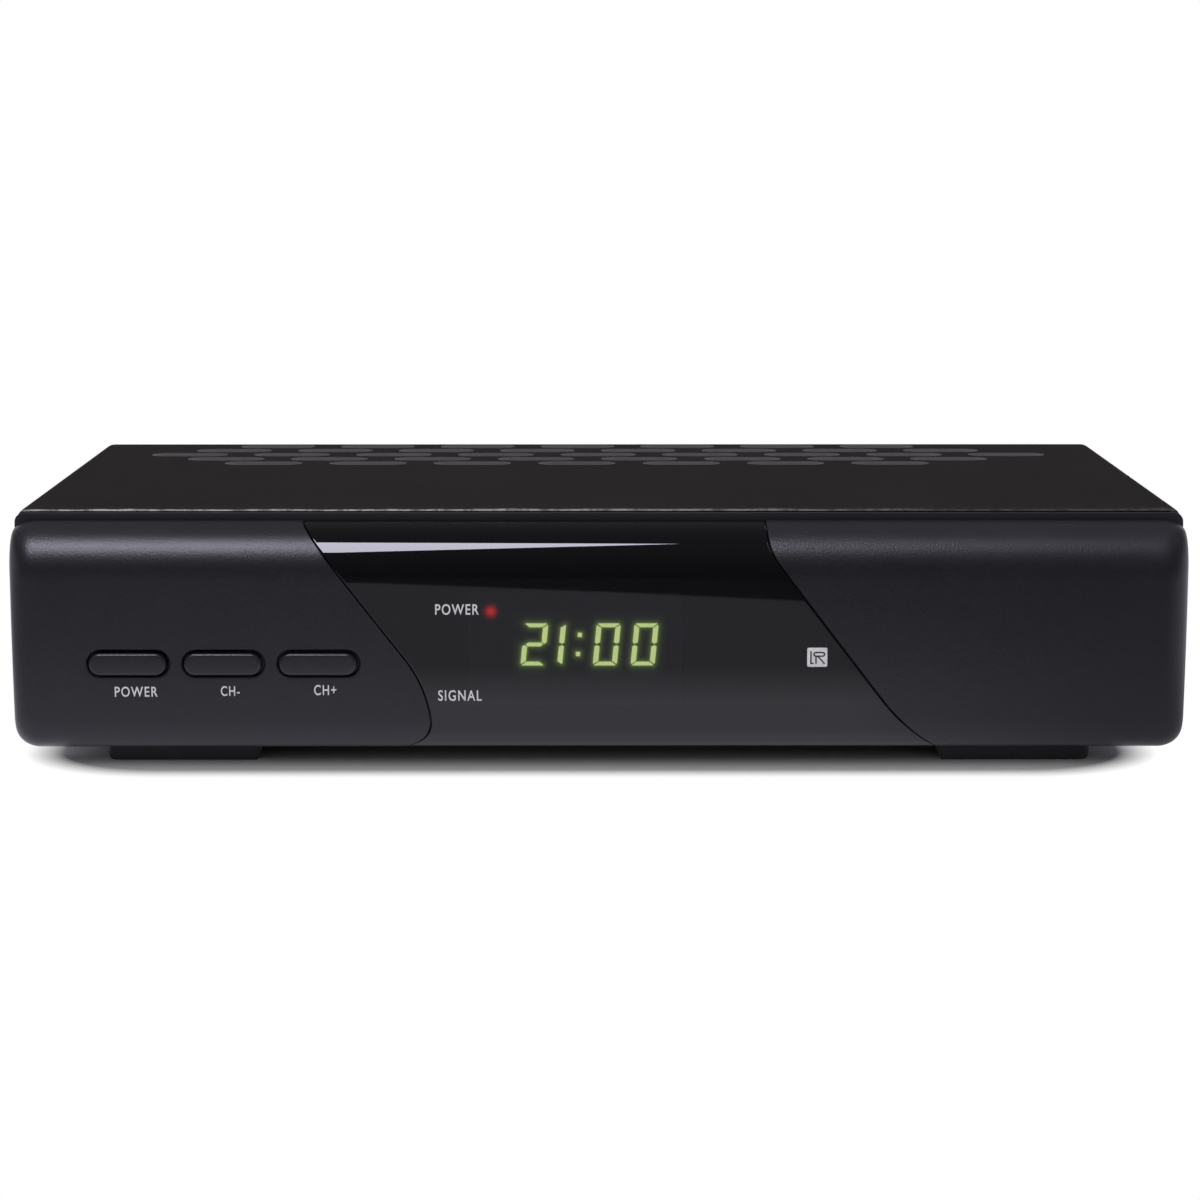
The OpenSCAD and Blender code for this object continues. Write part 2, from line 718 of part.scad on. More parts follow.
// The folded cover, open below, with its vent slots
module top_cover() {
    in_r = bend_r - sheet_t;
    half = cover_w / 2;
    color(steel_black) seated() difference() {
        along_y(cover_y, body_d) difference() {
            round_rect([-half, z_bottom], [half, body_h], [0, 0, bend_r, bend_r]);
            round_rect([-half + sheet_t, z_bottom - cut], [half - sheet_t, z_cover_in],
                [0, 0, in_r, in_r]);
        }
        for (row = [-vent_side_rows : vent_side_rows]) {
            for (i = [0 : vent_count - 1 - abs(row)]) {
                translate([(i - (vent_count - 1 - abs(row)) / 2) * vent_pitch
                        - abs(row) * (vent_pitch / 2 - vent_row),
                        body_d - vent_from_rear + row * vent_row, z_cover_in - cut])
                    linear_extrude(sheet_t + 2 * cut) obround(vent_l, vent_w);
            }
        }
        for (x = [-half, half]) {
            for (y = cover_screw_y) {
                translate([x, y, cover_screw_z]) rotate([0, 90, 0])
                    cylinder(r = screw_r + 2 * screw_gap, h = 4 * sheet_t, center = true);
            }
        }
    }
}

// The moulded fascia: shell, neck, posts, button holes and the seat of the window
module front_fascia() {
    color(black_plastic) seated() difference() {
        union() {
            difference() {
                form(0, fascia_d);
                form(fascia_wall, fascia_d + cut);
            }
            fascia_neck();
            for (p = post_places) {
                rod_y(p[0], p[1], fascia_wall - post_root, front_y, post_r);
            }
            for (x = [-fascia_post_x, fascia_post_x]) {
                rod_y(x, fascia_post_z, neck_front, neck_end, fascia_post_r);
            }
        }
        difference() {
            window_prism(0, neck_front);
            form(window_t + window_seat, fascia_d);
        }
        for (x = button_x) {
            translate([x, 0, button_z]) along_y(-cut, fascia_wall + 2 * cut)
                obround(button_w + 2 * button_gap, button_h + 2 * button_gap);
        }
        block([display_x - display_size[0] / 2 + display_lap, -cut,
             display_z - display_size[2] / 2 + display_lap],
            [display_x + display_size[0] / 2 - display_lap, fascia_wall + cut,
             display_z + display_size[2] / 2 - display_lap]);
        for (up = [power_lamp_up, signal_lamp_up]) {
            rod_y(-lamp_left, z_bottom + up, -cut, fascia_wall + 2 * cut, lamp_r + lamp_gap);
        }
        rod_y(eye_right, eye_z, -cut, fascia_wall + cut, eye_size[0] / 2);
        for (p = post_places) {
            rod_y(p[0], p[1], front_y + board_t - screw_l - cut, front_y + cut,
                screw_r + screw_gap);
        }
        for (x = [-fascia_post_x, fascia_post_x]) {
            rod_y(x, fascia_post_z, neck_end + sheet_t - screw_l - screw_gap, neck_end + cut,
                screw_r + screw_gap);
        }
    }
}

// The neck inside the cover, and the collar in front of the cover's edge
module fascia_neck() {
    inside_r = bend_r - sheet_t;
    difference() {
        union() {
            along_y(neck_front, neck_end) round_rect([-base_w / 2, z_floor],
                [base_w / 2, z_rear_wall], [0, 0, inside_r, inside_r]);
            along_y(neck_front, fascia_d) round_rect([-cover_w / 2, z_floor],
                [cover_w / 2, z_rear_wall], [0, 0, bend_r, bend_r]);
        }
        along_y(neck_front - cut, neck_end + cut)
            round_rect([-base_w / 2 + neck_wall, z_floor + neck_wall],
                [base_w / 2 - neck_wall, z_rear_wall - neck_wall],
                [neck_round, neck_round, neck_round, neck_round]);
    }
}

// The smoked window, flush with the fascia
module display_window() {
    color(smoked) seated() difference() {
        intersection() {
            form(0, fascia_d);
            window_prism(window_gap, neck_front - window_gap);
        }
        form(window_t, fascia_d + cut);
    }
}

function foot_centre() = body_w / 2 - foot_inset - foot_w / 2;
function front_peg_y() = max(front_foot_back + foot_d / 2, neck_end + 2 * peg_r);
function rear_peg_y() = body_d - rear_foot_back - foot_d / 2;

// A foot: side is -1 on the left and 1 on the right, y0 its front face
module foot(side, y0, peg_y) {
    inner = foot_centre() - foot_w / 2;
    outer = foot_centre() + foot_w / 2;
    color([0.09, 0.09, 0.10]) seated() mirror([side < 0 ? 1 : 0, 0, 0]) {
        intersection() {
            along_y(y0, y0 + foot_d) difference() {
                polygon([[inner, z_bottom], [inner + foot_slant, 0], [outer, 0], [outer, z_bottom]]);
                corner_cut([outer, 0], [-1, 1], foot_round);
            }
            linear_extrude(z_bottom) round_rect([inner, y0], [outer, y0 + foot_d],
                [foot_corner_r, foot_corner_r, foot_corner_r, foot_corner_r]);
        }
        translate([foot_centre(), peg_y, z_bottom - peg_root])
            cylinder(r = peg_r, h = sheet_t + peg_root);
    }
}

module front_left_foot() { foot(-1, front_foot_back, front_peg_y()); }
module front_right_foot() { foot(1, front_foot_back, front_peg_y()); }
module rear_left_foot() { foot(-1, body_d - rear_foot_back - foot_d, rear_peg_y()); }
module rear_right_foot() { foot(1, body_d - rear_foot_back - foot_d, rear_peg_y()); }

module cover_screws() {
    color(plain_steel) seated() {
        for (side = [-1, 1]) {
            for (y = cover_screw_y) {
                translate([side * cover_w / 2, y, cover_screw_z]) rotate([0, side * 90, 0]) screw();
            }
        }
    }
}

module fascia_screws() {
    color(plain_steel) seated() {
        for (x = [-fascia_post_x, fascia_post_x]) {
            translate([x, neck_end + sheet_t, fascia_post_z]) rotate([-90, 0, 0]) screw();
        }
    }
}

// A bar along X with round ends, from y0 to y1, its front edge rounded by r
module cap_bar(w, h, y0, y1, r) {
    reach = (w - h) / 2;
    along_x(-reach, reach) round_rect([y0, -h / 2], [y1, h / 2], [r, 0, 0, r]);
    for (side = [-1, 1]) {
        translate([side * reach, 0, 0]) rotate([-90, 0, 0]) rotate_extrude()
            round_rect([0, y0], [h / 2, y1], [0, r, 0, 0]);
    }
}

// A button: its cap, the flange behind the fascia and the stem that meets the switch
module button(i) {
    color([0.165, 0.16, 0.19]) seated() translate([button_x[i], 0, button_z]) {
        cap_bar(button_w, button_h, -button_proud, flange_y + button_flange_t / 2, button_round);
        along_y(flange_y, flange_y + button_flange_t)
            obround(button_w + 2 * button_flange, button_h + 2 * button_flange);
        rod_y(0, 0, flange_y, plunger_y, plunger_r);
    }
}

module power_button() { button(0); }
module channel_down_button() { button(1); }
module channel_up_button() { button(2); }

// The round plunger of a switch, pushed by the button's stem
module plunger(i) {
    color([0.2, 0.2, 0.2]) seated()
        rod_y(button_x[i], button_z, plunger_y, switch_y + plunger_out, plunger_r);
}

module power_plunger() { plunger(0); }
module channel_down_plunger() { plunger(1); }
module channel_up_plunger() { plunger(2); }

// The switch's body, with a bore for the plunger
module tact_switch(i) {
    bore_end = switch_y + plunger_out + button_travel + plunger_over;
    color(aluminium) seated() difference() {
        block([button_x[i] - switch_size[0] / 2, switch_y, button_z - switch_size[2] / 2],
            [button_x[i] + switch_size[0] / 2, front_y, button_z + switch_size[2] / 2]);
        rod_y(button_x[i], button_z, switch_y - cut, bore_end, plunger_r + plunger_gap);
    }
}

module power_switch() { tact_switch(0); }
module channel_down_switch() { tact_switch(1); }
module channel_up_switch() { tact_switch(2); }

module front_board() {
    color(board_green) seated() difference() {
        block([front_x[0], front_y, front_z[0]], [front_x[1], front_y + board_t, front_z[1]]);
        for (p = post_places) {
            rod_y(p[0], p[1], front_y - cut, front_y + board_t + cut, screw_r + 2 * screw_gap);
        }
    }
}

module front_board_screws() {
    color(plain_steel) seated() {
        for (p = post_places) {
            translate([p[0], front_y + board_t, p[1]]) rotate([-90, 0, 0]) screw();
        }
    }
}

module display_module() {
    half = display_size / 2;
    color(chip_black) seated() block([display_x - half[0], display_y, display_z - half[2]],
        [display_x + half[0], front_y, display_z + half[2]]);
}

// A point of a digit, moved sideways with the digit's slant
function slanted(p) = [p[0] + p[1] * tan(digit_slant), p[1]];

// Corners of a lit bar between two points of a digit: mitred at the digit's corners, where reach_a or
// reach_b is 1, cut back on the inner side at the digit's middle, and pointed as the middle bar
function lit_bar(a, b, reach_a, reach_b) =
    let (n = (b - a) / norm(b - a), s = [-n[1], n[0]] * bar_w / 2, t = n * bar_w / 2,
         outer = (a + b) * s >= 0 ? s : -s)
    norm(a + b) < bar_w
        ? [a, a + t + s, b - t + s, b, b - t - s, a + t - s]
        : [a + outer - reach_a * t, b + outer + reach_b * t, b - outer - t, a - outer + t];

// The lit bars of the clock: each digit's place and the bars that it lights
module display_segments() {
    mid_w = (digit_w - bar_w) / 2;
    mid_h = (digit_h - bar_w) / 2;
    ends = [[[-mid_w, mid_h], [mid_w, mid_h]], [[mid_w, mid_h], [mid_w, 0]],
        [[mid_w, 0], [mid_w, -mid_h]], [[-mid_w, -mid_h], [mid_w, -mid_h]],
        [[-mid_w, 0], [-mid_w, -mid_h]], [[-mid_w, mid_h], [-mid_w, 0]],
        [[-mid_w, 0], [mid_w, 0]]];
    bars = [[0, 1, 6, 4, 3], [1, 2], [0, 1, 2, 3, 4, 5], [0, 1, 2, 3, 4, 5]];
    color([0.75, 0.95, 0.45]) seated() translate([display_x, 0, display_z])
        along_y(display_y - bar_t, display_y) {
            for (i = [0 : len(bars) - 1]) {
                for (bar = bars[i]) {
                    a = ends[bar][0];
                    b = ends[bar][1];
                    inset = bar_gap * (b - a) / norm(b - a);
                    corners = lit_bar(a + inset, b - inset, a[1] == 0 ? 0 : 1, b[1] == 0 ? 0 : 1);
                    translate([digit_at[i], 0]) polygon([for (p = corners) slanted(p)]);
                }
            }
            for (up = colon_up) {
                translate(slanted([colon_right, up])) square(dot_w, center = true);
            }
        }
}

// A lamp on its spacer: the dome looks through the hole behind the window
module lamp(up, tint) {
    tip = window_t + window_seat + crown + lamp_room;
    color(tint) seated() {
        rod_y(-lamp_left, z_bottom + up, tip + lamp_r, front_y, lamp_r);
        translate([-lamp_left, tip + lamp_r, z_bottom + up]) sphere(lamp_r);
        rod_y(-lamp_left, z_bottom + up, display_y + display_size[1] / 2, front_y, lamp_r + lamp_rim);
    }
}

module power_lamp() { lamp(power_lamp_up, [0.75, 0.08, 0.10]); }
module signal_lamp() { lamp(signal_lamp_up, [0.30, 0.42, 0.30]); }

module infrared_receiver() {
    half = eye_size / 2;
    color(chip_black) seated() {
        block([eye_right - half[0], front_y - eye_size[1], eye_z - half[2]],
            [eye_right + half[0], front_y, eye_z + half[2]]);
        translate([eye_right, front_y - eye_size[1], eye_z]) sphere(half[0] * 0.7);
    }
}

module front_board_header() {
    color(cream) seated() block(
        [ribbon_x - header_size[1] / 2, front_y + board_t, ribbon_z() - header_size[0] / 2],
        [ribbon_x + header_size[1] / 2, front_y + board_t + header_h, ribbon_z() + header_size[0] / 2]);
}

function ribbon_z() = z_top + ribbon_up;
function ribbon_end_y() = board_back - main_board_d + board_screw_in + header_size[0];

// The flat cable from the front board back to the main board and down into its header
module ribbon_cable() {
    r = ribbon_up - header_h;
    y1 = ribbon_end_y();
    bend = ribbon_bend;
    color([0.80, 0.80, 0.78]) seated()
        along_x(ribbon_x - header_size[1] / 2 + cable_in, ribbon_x + header_size[1] / 2 - cable_in) {
            translate([front_y + board_t + header_h, ribbon_z() - cable_t / 2])
                square([y1 - bend - front_y - board_t - header_h, cable_t]);
            translate([y1 - bend, ribbon_z() - bend]) intersection() {
                difference() {
                    circle(bend + cable_t / 2);
                    circle(bend - cable_t / 2);
                }
                square(2 * bend);
            }
            translate([y1 - cable_t / 2, ribbon_z() - r]) square([cable_t, r - bend]);
        }
}

// A circuit board with its screw holes
module circuit_board(x0, x1, depth, places) {
    color(board_green) seated() difference() {
        block([x0, board_back - depth, z_board], [x1, board_back, z_top]);
        for (p = places) {
            translate([p[0], p[1], z_board - cut])
                cylinder(r = screw_r + 2 * screw_gap, h = board_t + 2 * cut);
        }
    }
}

module main_board() { circuit_board(main_x, main_end, main_board_d, main_posts); }
module power_board() { circuit_board(power_x, power_end, power_board_d, power_posts); }

module board_standoffs() {
    color([0.80, 0.66, 0.32]) seated() {
        for (p = concat(main_posts, power_posts)) {
            translate([p[0], p[1], z_floor]) difference() {
                cylinder(r = standoff_r, h = board_rise);
                translate([0, 0, cut]) cylinder(r = screw_r + screw_gap, h = board_rise);
            }
        }
    }
}

module board_screws() {
    color(plain_steel) seated() {
        for (p = concat(main_posts, power_posts)) {
            translate([p[0], p[1], z_top]) screw();
        }
    }
}

module insulating_sheet() {
    color([0.85, 0.85, 0.80]) seated() difference() {
        block([power_x, board_back - power_board_d, z_floor],
            [power_end, board_back, z_floor + insulator_t]);
        for (p = power_posts) {
            translate([p[0], p[1], z_floor - cut]) cylinder(r = standoff_r + standoff_gap, h = 3 * cut);
        }
    }
}

module tuner_can() {
    color(nickel) seated() block([tuner_x - tuner_size[0] / 2, socket_y - tuner_size[1], z_top],
        [tuner_x + tuner_size[0] / 2, socket_y, z_top + tuner_size[2]]);
}

// A threaded aerial jack that stands out of the tuner through the rear wall
module aerial_jack(x) {
    color(nickel) seated() difference() {
        union() {
            rod_y(x, rf_z, socket_y, rear_out + jack_root, rf_r - jack_neck);
            rod_y(x, rf_z, rear_out + jack_root, rear_out + rf_reach, rf_r);
        }
        rod_y(x, rf_z, rear_out + rf_reach / 2, rear_out + rf_reach + cut, rf_hole_r);
    }
}

module aerial_input_jack() { aerial_jack(tuner_x + rf_pitch / 2); }
module aerial_output_jack() { aerial_jack(tuner_x - rf_pitch / 2); }

// The audio and video socket: a housing with a slanted-end groove round rows of contact slots
module scart_socket() {
    lo = [scart_x - scart_size[0] / 2, rear_out + scart_reach - scart_size[1], z_top];
    face = rear_out + scart_reach;
    mid = z_top + scart_size[2] / 2;
    color(chip_black) seated() difference() {
        block(lo, [lo[0] + scart_size[0], face, z_top + scart_size[2]]);
        translate([scart_x, 0, mid]) along_y(face - scart_size[1] / 2, face + cut) difference() {
            scart_outline(scart_rim);
            scart_outline(scart_rim + scart_groove);
        }
        for (i = [-4.5 : 4.5]) {
            for (up = [-contact_row, contact_row]) {
                translate([scart_x + i * contact_pitch - up / 2, 0, mid + up])
                    along_y(face - scart_size[1] / 2, face + cut) square(contact_size, center = true);
            }
        }
    }
}

// That socket's outline, taken in by d, with its one slanted end
module scart_outline(d) {
    half_w = scart_size[0] / 2 - d;
    half_h = scart_size[2] / 2 - d;
    slant = half_h * 0.6;
    polygon([[-half_w, -half_h], [half_w - slant, -half_h], [half_w, half_h], [-half_w, half_h]]);
}

// The HDMI socket: a thin metal shell with chamfered lower corners round a tongue
module hdmi_socket() {
    face = rear_out + hdmi_reach;
    back = face - hdmi_size[1];
    shell = 0.6;
    back_wall = 2;
    tongue_half = hdmi_size[0] / 2 - 4 * shell;
    color(nickel) seated() translate([hdmi_x, 0, z_top]) {
        along_y(back, face) difference() {
            hdmi_outline(0);
            hdmi_outline(shell);
        }
        along_y(back, back + back_wall) hdmi_outline(shell / 2);
        block([-tongue_half, back + back_wall / 2, hdmi_size[2] * 0.52],
            [tongue_half, face - 2 * shell, hdmi_size[2] * 0.72]);
    }
}

module hdmi_outline(d) {
    half = hdmi_size[0] / 2 - d;
    bevel = hdmi_size[2] * 0.35;
    polygon([[-half + bevel, d], [half - bevel, d], [half, bevel + d], [half, hdmi_size[2] - d],
        [-half, hdmi_size[2] - d], [-half, bevel + d]]);
}

// The coaxial jack: a housing behind the wall and a round shell through it
module digital_audio_jack() {
    color([0.85, 0.55, 0.10]) seated() difference() {
        union() {
            block([audio_x - audio_size[0] / 2, socket_y - audio_size[1], z_top],
                [audio_x + audio_size[0] / 2, socket_y, z_top + audio_size[2]]);
            rod_y(audio_x, audio_z, socket_y - audio_size[1] / 2, rear_out + jack_root,
                audio_r - jack_neck);
            rod_y(audio_x, audio_z, rear_out + jack_root, rear_out + audio_reach, audio_r);
        }
        rod_y(audio_x, audio_z, rear_out, rear_out + audio_reach + cut, audio_hole_r);
    }
}

// The two-pin mains inlet: a figure-of-eight recess with its pins
module mains_inlet() {
    face = rear_out + inlet_reach;
    mid = z_top + inlet_size[2] / 2;
    floor_y = face - inlet_deep;
    recess_h = inlet_size[2] - 2 * inlet_rim;
    color(chip_black) seated() {
        difference() {
            block([inlet_x - inlet_size[0] / 2, face - inlet_size[1], z_top],
                [inlet_x + inlet_size[0] / 2, face, z_top + inlet_size[2]]);
            translate([inlet_x, 0, mid]) along_y(floor_y, face + cut) {
                for (side = [-1, 1]) {
                    translate([side * inlet_pitch / 2, 0]) circle(recess_h / 2);
                }
                square([inlet_pitch, recess_h * 0.8], center = true);
            }
        }
        for (side = [-1, 1]) {
            rod_y(inlet_x + side * inlet_pitch / 2, mid, floor_y - inlet_pin_r, face - pin_short,
                inlet_pin_r);
        }
    }
}

// Chips and other pieces on the main board, placed from the sockets and the ribbon cable's header
processor_y = ribbon_end_y() + header_size[0] / 2 + processor_room + processor_size[1] / 2;

module processor() {
    color(chip_black) seated() on_board(scart_x, processor_y, processor_size);
}

module heat_sink() {
    w = processor_size[0];
    d = processor_size[1];
    fin = 1.2;
    foot = 2.5;
    color(aluminium) seated()
    translate([scart_x - w / 2, processor_y - d / 2, z_top + processor_size[2]]) {
        cube([w, d, foot]);
        for (i = [0 : heat_sink_fins - 1]) {
            translate([i * (w - fin) / (heat_sink_fins - 1), 0, 0]) cube([fin, d, heat_sink_h]);
        }
    }
}

module memory_chip() {
    x = scart_x + processor_size[0] / 2 + socket_space + memory_size[0] / 2;
    color(chip_black) seated() on_board(x, processor_y, memory_size);
}

module flash_chip() {
    color(chip_black) seated() on_board(audio_x, processor_y, flash_size);
}

module crystal() {
    y = processor_y - flash_size[1] / 2 - socket_space - crystal_size[1] / 2;
    color(nickel) seated() translate([audio_x, y, z_top])
        linear_extrude(crystal_size[2]) obround(crystal_size[0], crystal_size[1]);
}

module main_board_capacitors() {
    color([0.10, 0.12, 0.30]) seated() {
        for (i = [-1.5 : 1.5]) {
            translate([hdmi_x, processor_y + i * small_cap_pitch, z_top])
                cylinder(r = small_cap_r, h = small_cap_h);
        }
    }
}

module main_board_header() {
    color(cream) seated()
        on_board(ribbon_x, ribbon_end_y(), [header_size[1], header_size[0], header_h]);
}

// A place on the power board: across from its left edge and forward from its rear edge
function power_at(place) = [power_x + place[0], board_back - place[1]];

// The power heat sink stands behind the transistor, beside the transformer
power_sink_at = [transformer_at[0] + transformer_size[0] / 2 + power_sink_room + transistor_size[0]
    + power_sink_size[0] / 2, transformer_at[1]];

module fuse() {
    p = power_at(fuse_at);
    clip = 3;
    clip_side = 0.5;
    color(cream) seated() {
        rod_y(p[0], z_top + clip + fuse_r, p[1] - fuse_l / 2, p[1] + fuse_l / 2, fuse_r);
        for (y = [p[1] - fuse_l / 2 + clip, p[1] + fuse_l / 2 - clip]) {
            on_board(p[0], y, [2 * (fuse_r + clip_side), clip, clip + fuse_r / 2]);
        }
    }
}

module mains_capacitor() {
    p = power_at(mains_cap_at);
    color([0.85, 0.72, 0.20]) seated() on_board(p[0], p[1], mains_cap_size);
}

module line_filter_choke() {
    p = power_at(choke_at);
    coil_r = choke_size[1] * 0.7;
    rim = 3;
    color([0.70, 0.42, 0.18]) seated() {
        on_board(p[0], p[1], choke_size);
        for (side = [-1, 1]) {
            translate([p[0] + side * (choke_size[0] / 2 - coil_r), p[1], z_top + rim])
                cylinder(r = coil_r, h = choke_size[2] - 2 * rim);
        }
    }
}

module reservoir_capacitor() {
    p = power_at(reservoir_at);
    color([0.10, 0.10, 0.12]) seated() translate([p[0], p[1], z_top])
        cylinder(r = reservoir_r, h = reservoir_h);
}

// A bobbin on its base, with the core's two halves round it
module transformer() {
    p = power_at(transformer_at);
    w = transformer_size[0];
    d = transformer_size[1];
    h = transformer_size[2];
    bobbin_base = h * 0.18;
    bobbin_h = h * 0.9;
    color([0.90, 0.78, 0.20]) seated() {
        on_board(p[0], p[1], [w, d, bobbin_base]);
        on_board(p[0], p[1], [w * 0.7, d * 0.75, bobbin_h]);
        on_board(p[0], p[1], [w, d * 0.55, h]);
    }
}

module switching_transistor() {
    p = power_at(power_sink_at);
    x = p[0] - power_sink_size[0] / 2 - transistor_size[0] / 2;
    color(chip_black) seated() on_board(x, p[1], transistor_size);
}

module power_heat_sink() {
    p = power_at(power_sink_at);
    fin = [power_fin_size[0], power_fin_size[1], power_sink_size[2]];
    color(aluminium) seated() {
        on_board(p[0], p[1], power_sink_size);
        for (side = [-1, 1]) {
            on_board(p[0] + fin[0] / 2, p[1] + side * (power_sink_size[1] - fin[1]) / 2, fin);
        }
    }
}

module output_capacitors() {
    color([0.10, 0.30, 0.18]) seated() {
        for (i = [-1 : 1]) {
            p = power_at([power_board_w / 2 + i * output_cap_pitch, power_board_d - board_screw_in]);
            translate([p[0], p[1], z_top]) cylinder(r = output_cap_r, h = output_cap_h);
        }
    }
}

module power_output_header() {
    color(cream) seated() on_board(power_end - lead_in, board_back - lead_forward,
        [header_size[0], header_size[1], header_h]);
}

module power_input_header() {
    color(cream) seated() on_board(main_x + lead_in, board_back - lead_forward,
        [header_size[0], header_size[1], header_h]);
}

// The short lead that arches from the power board's header to the main board's
module power_lead() {
    r = (main_x - power_end) / 2 + lead_in;
    mid = (main_x + power_end) / 2;
    half = header_size[1] / 2 - 2 * cable_in;
    color([0.75, 0.15, 0.12]) seated() translate([mid, 0, z_top + header_h])
        along_y(board_back - lead_forward - half, board_back - lead_forward + half) intersection() {
            difference() {
                circle(r + cable_t / 2);
                circle(r - cable_t / 2);
            }
            translate([-2 * r, 0]) square([4 * r, 2 * r]);
        }
}

base_chassis();
top_cover();
front_fascia();
display_window();
front_left_foot();
front_right_foot();
rear_left_foot();
rear_right_foot();
cover_screws();
fascia_screws();
power_button();
channel_down_button();
channel_up_button();
power_plunger();
channel_down_plunger();
channel_up_plunger();
power_switch();
channel_down_switch();
channel_up_switch();
front_board();
front_board_screws();
display_module();
display_segments();
power_lamp();
signal_lamp();
infrared_receiver();
front_board_header();
ribbon_cable();
main_board();
board_standoffs();
board_screws();
tuner_can();
aerial_input_jack();
aerial_output_jack();
scart_socket();
hdmi_socket();
digital_audio_jack();
processor();
heat_sink();
memory_chip();
flash_chip();
crystal();
main_board_capacitors();
main_board_header();
power_input_header();
power_board();
insulating_sheet();
mains_inlet();
fuse();
line_filter_choke();
mains_capacitor();
reservoir_capacitor();
transformer();
switching_transistor();
power_heat_sink();
output_capacitors();
power_output_header();
power_lead();
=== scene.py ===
import math

import bmesh
import bpy
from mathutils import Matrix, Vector
from mathutils.bvhtree import BVHTree


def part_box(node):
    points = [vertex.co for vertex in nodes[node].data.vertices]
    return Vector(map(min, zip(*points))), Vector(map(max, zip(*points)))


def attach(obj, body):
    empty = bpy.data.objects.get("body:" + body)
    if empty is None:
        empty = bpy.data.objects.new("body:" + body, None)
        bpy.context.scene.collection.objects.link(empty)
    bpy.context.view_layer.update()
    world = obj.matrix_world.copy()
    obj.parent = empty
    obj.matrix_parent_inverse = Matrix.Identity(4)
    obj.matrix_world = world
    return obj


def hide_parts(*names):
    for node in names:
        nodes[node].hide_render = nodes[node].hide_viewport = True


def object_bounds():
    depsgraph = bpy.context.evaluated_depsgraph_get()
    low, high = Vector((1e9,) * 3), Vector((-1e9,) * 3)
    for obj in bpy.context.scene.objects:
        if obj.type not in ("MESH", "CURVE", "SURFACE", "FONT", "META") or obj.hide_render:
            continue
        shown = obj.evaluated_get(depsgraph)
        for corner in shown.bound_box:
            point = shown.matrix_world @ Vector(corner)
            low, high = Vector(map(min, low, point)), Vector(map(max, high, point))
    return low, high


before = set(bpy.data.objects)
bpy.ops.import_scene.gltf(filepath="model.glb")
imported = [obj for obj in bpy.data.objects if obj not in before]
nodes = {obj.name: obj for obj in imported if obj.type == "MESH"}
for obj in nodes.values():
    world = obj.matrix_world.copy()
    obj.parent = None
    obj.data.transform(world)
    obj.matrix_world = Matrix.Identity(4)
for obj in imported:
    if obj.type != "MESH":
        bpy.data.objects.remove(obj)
cad_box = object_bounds()

# Lengths below are in millimetres, with Y from the fascia's foremost face and Z from the table.
MM = 0.001
FACE_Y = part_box("front_fascia")[0].y / MM

# Fascia. FACE_LOW is the foot of the face's crown and of the window's edges
HALF_W = 110.0
Z_TOP = 45.3
Z_BOTTOM = 3.12
FACE_LOW = 3.6
CROWN = 0.8
TOP_R = 10.0
BOTTOM_R = 6.2
END_X = 4.6
END_TOP = 1.8
END_FRONT = 4.2
END_BOTTOM = 3.8
DRAFT = 0.45
DRAFT_SPAN = (88, 104)
SHELL_BACK = 12.95
SHELL_T = 2.2
GROOVE = 0.34
COVER_TOP = 47.7
SHEET_T = 0.8

# Neck behind the shell, and the collar that shows under the cover's edge
NECK_FRONT = 12.0
NECK_BACK = 17.0
NECK_HALF = 108.75
NECK_TOP = 46.7
NECK_LOW = 4.5
NECK_WALL = 2.0
NECK_CORNER = 1.8
COLLAR_HALF = 110.1
COLLAR_LOW = 32.0
COLLAR_ROOM_LOW = 23.0

# Window, its seat, and the turns of its left and right edges with their angles in degrees
WINDOW_T = 1.4
WINDOW_BACK = 11.85
WINDOW_RIM = 0.3
WINDOW_EDGE = 0.14
SEAT_DEPTH = 1.75
SEAT_BACK = 11.0
SEAT_SPAN = (-66.0, 78.0)
SEAT_T = 0.5
SEAT_REACH = 6.0
CLEAR_AT = (-4.5, 22.5)
CLEAR_HALF = (20.0, 11.0)
CLEAR_FADE = 0.1
EDGE_HEAD = 50.0
LEFT_NOSE_X = -31.4
LEFT_NOSE_R = 4.7
LEFT_NOSE_UP = 5.1
LEFT_NOSE_END = -60
LEFT_BEND_R = 24.0
LEFT_SLOPE = 38
LEFT_TURN = 8
RIGHT_X = 31.2
RIGHT_TOP_R = 12.0
RIGHT_SLOPE = 37.4
RIGHT_BEND_R = 40.0
RIGHT_BEND_UP = 9.4
RIGHT_TURN = 18

# Buttons
BUTTON_X = (-87.6, -69.9, -52.2)
BUTTON_Z = 19.9
BUTTON_W = 14.4
BUTTON_H = 4.1
BUTTON_OFF = (-0.1, -0.08)
BUTTON_GAP = 0.42
BUTTON_PROUD = 1.0
BUTTON_ROUND = 0.6
BUTTON_BACK = 4.0
FLANGE_W = 1.0
FLANGE_FRONT = 3.1
HOLE_LIP = 0.38
HOLE_FACE = 0.45

# Display, lamps and receiver. A digit's bars: top, two right, bottom, two left, middle
DISPLAY_X = -1.9
DISPLAY_Z = 23.1
DISPLAY_Y = 3.0
DISPLAY_HALF = (15.1, 7.0)
OPENING_HALF = (14.2, 6.2)
DIGIT_AT = (-10.2, -6.9, 3.3, 10.35)
DIGIT_BARS = ((0, 1, 6, 4, 3), (1, 2), (0, 1, 2, 3, 4, 5), (0, 1, 2, 3, 4, 5))
DIGIT_HALF = (2.25, 3.95)
DIGIT_SLANT = 5.5
UPRIGHT_W = 0.95
LEVEL_H = 0.7
BAR_GAP = 0.13
COLON_AT = ((-1.9, -1.8), (-1.9, 1.8))
DOT_W = 0.8
DOT_R = 0.16
GLOW_NEAR = 8.3
GLOW_NEAR_REACH = 0.34
GLOW_FAR = 0.35
GLOW_FAR_REACH = 1.2
GLOW_COLOUR = (0.36, 0.55, 0.09)
LAMP_X = -20.2
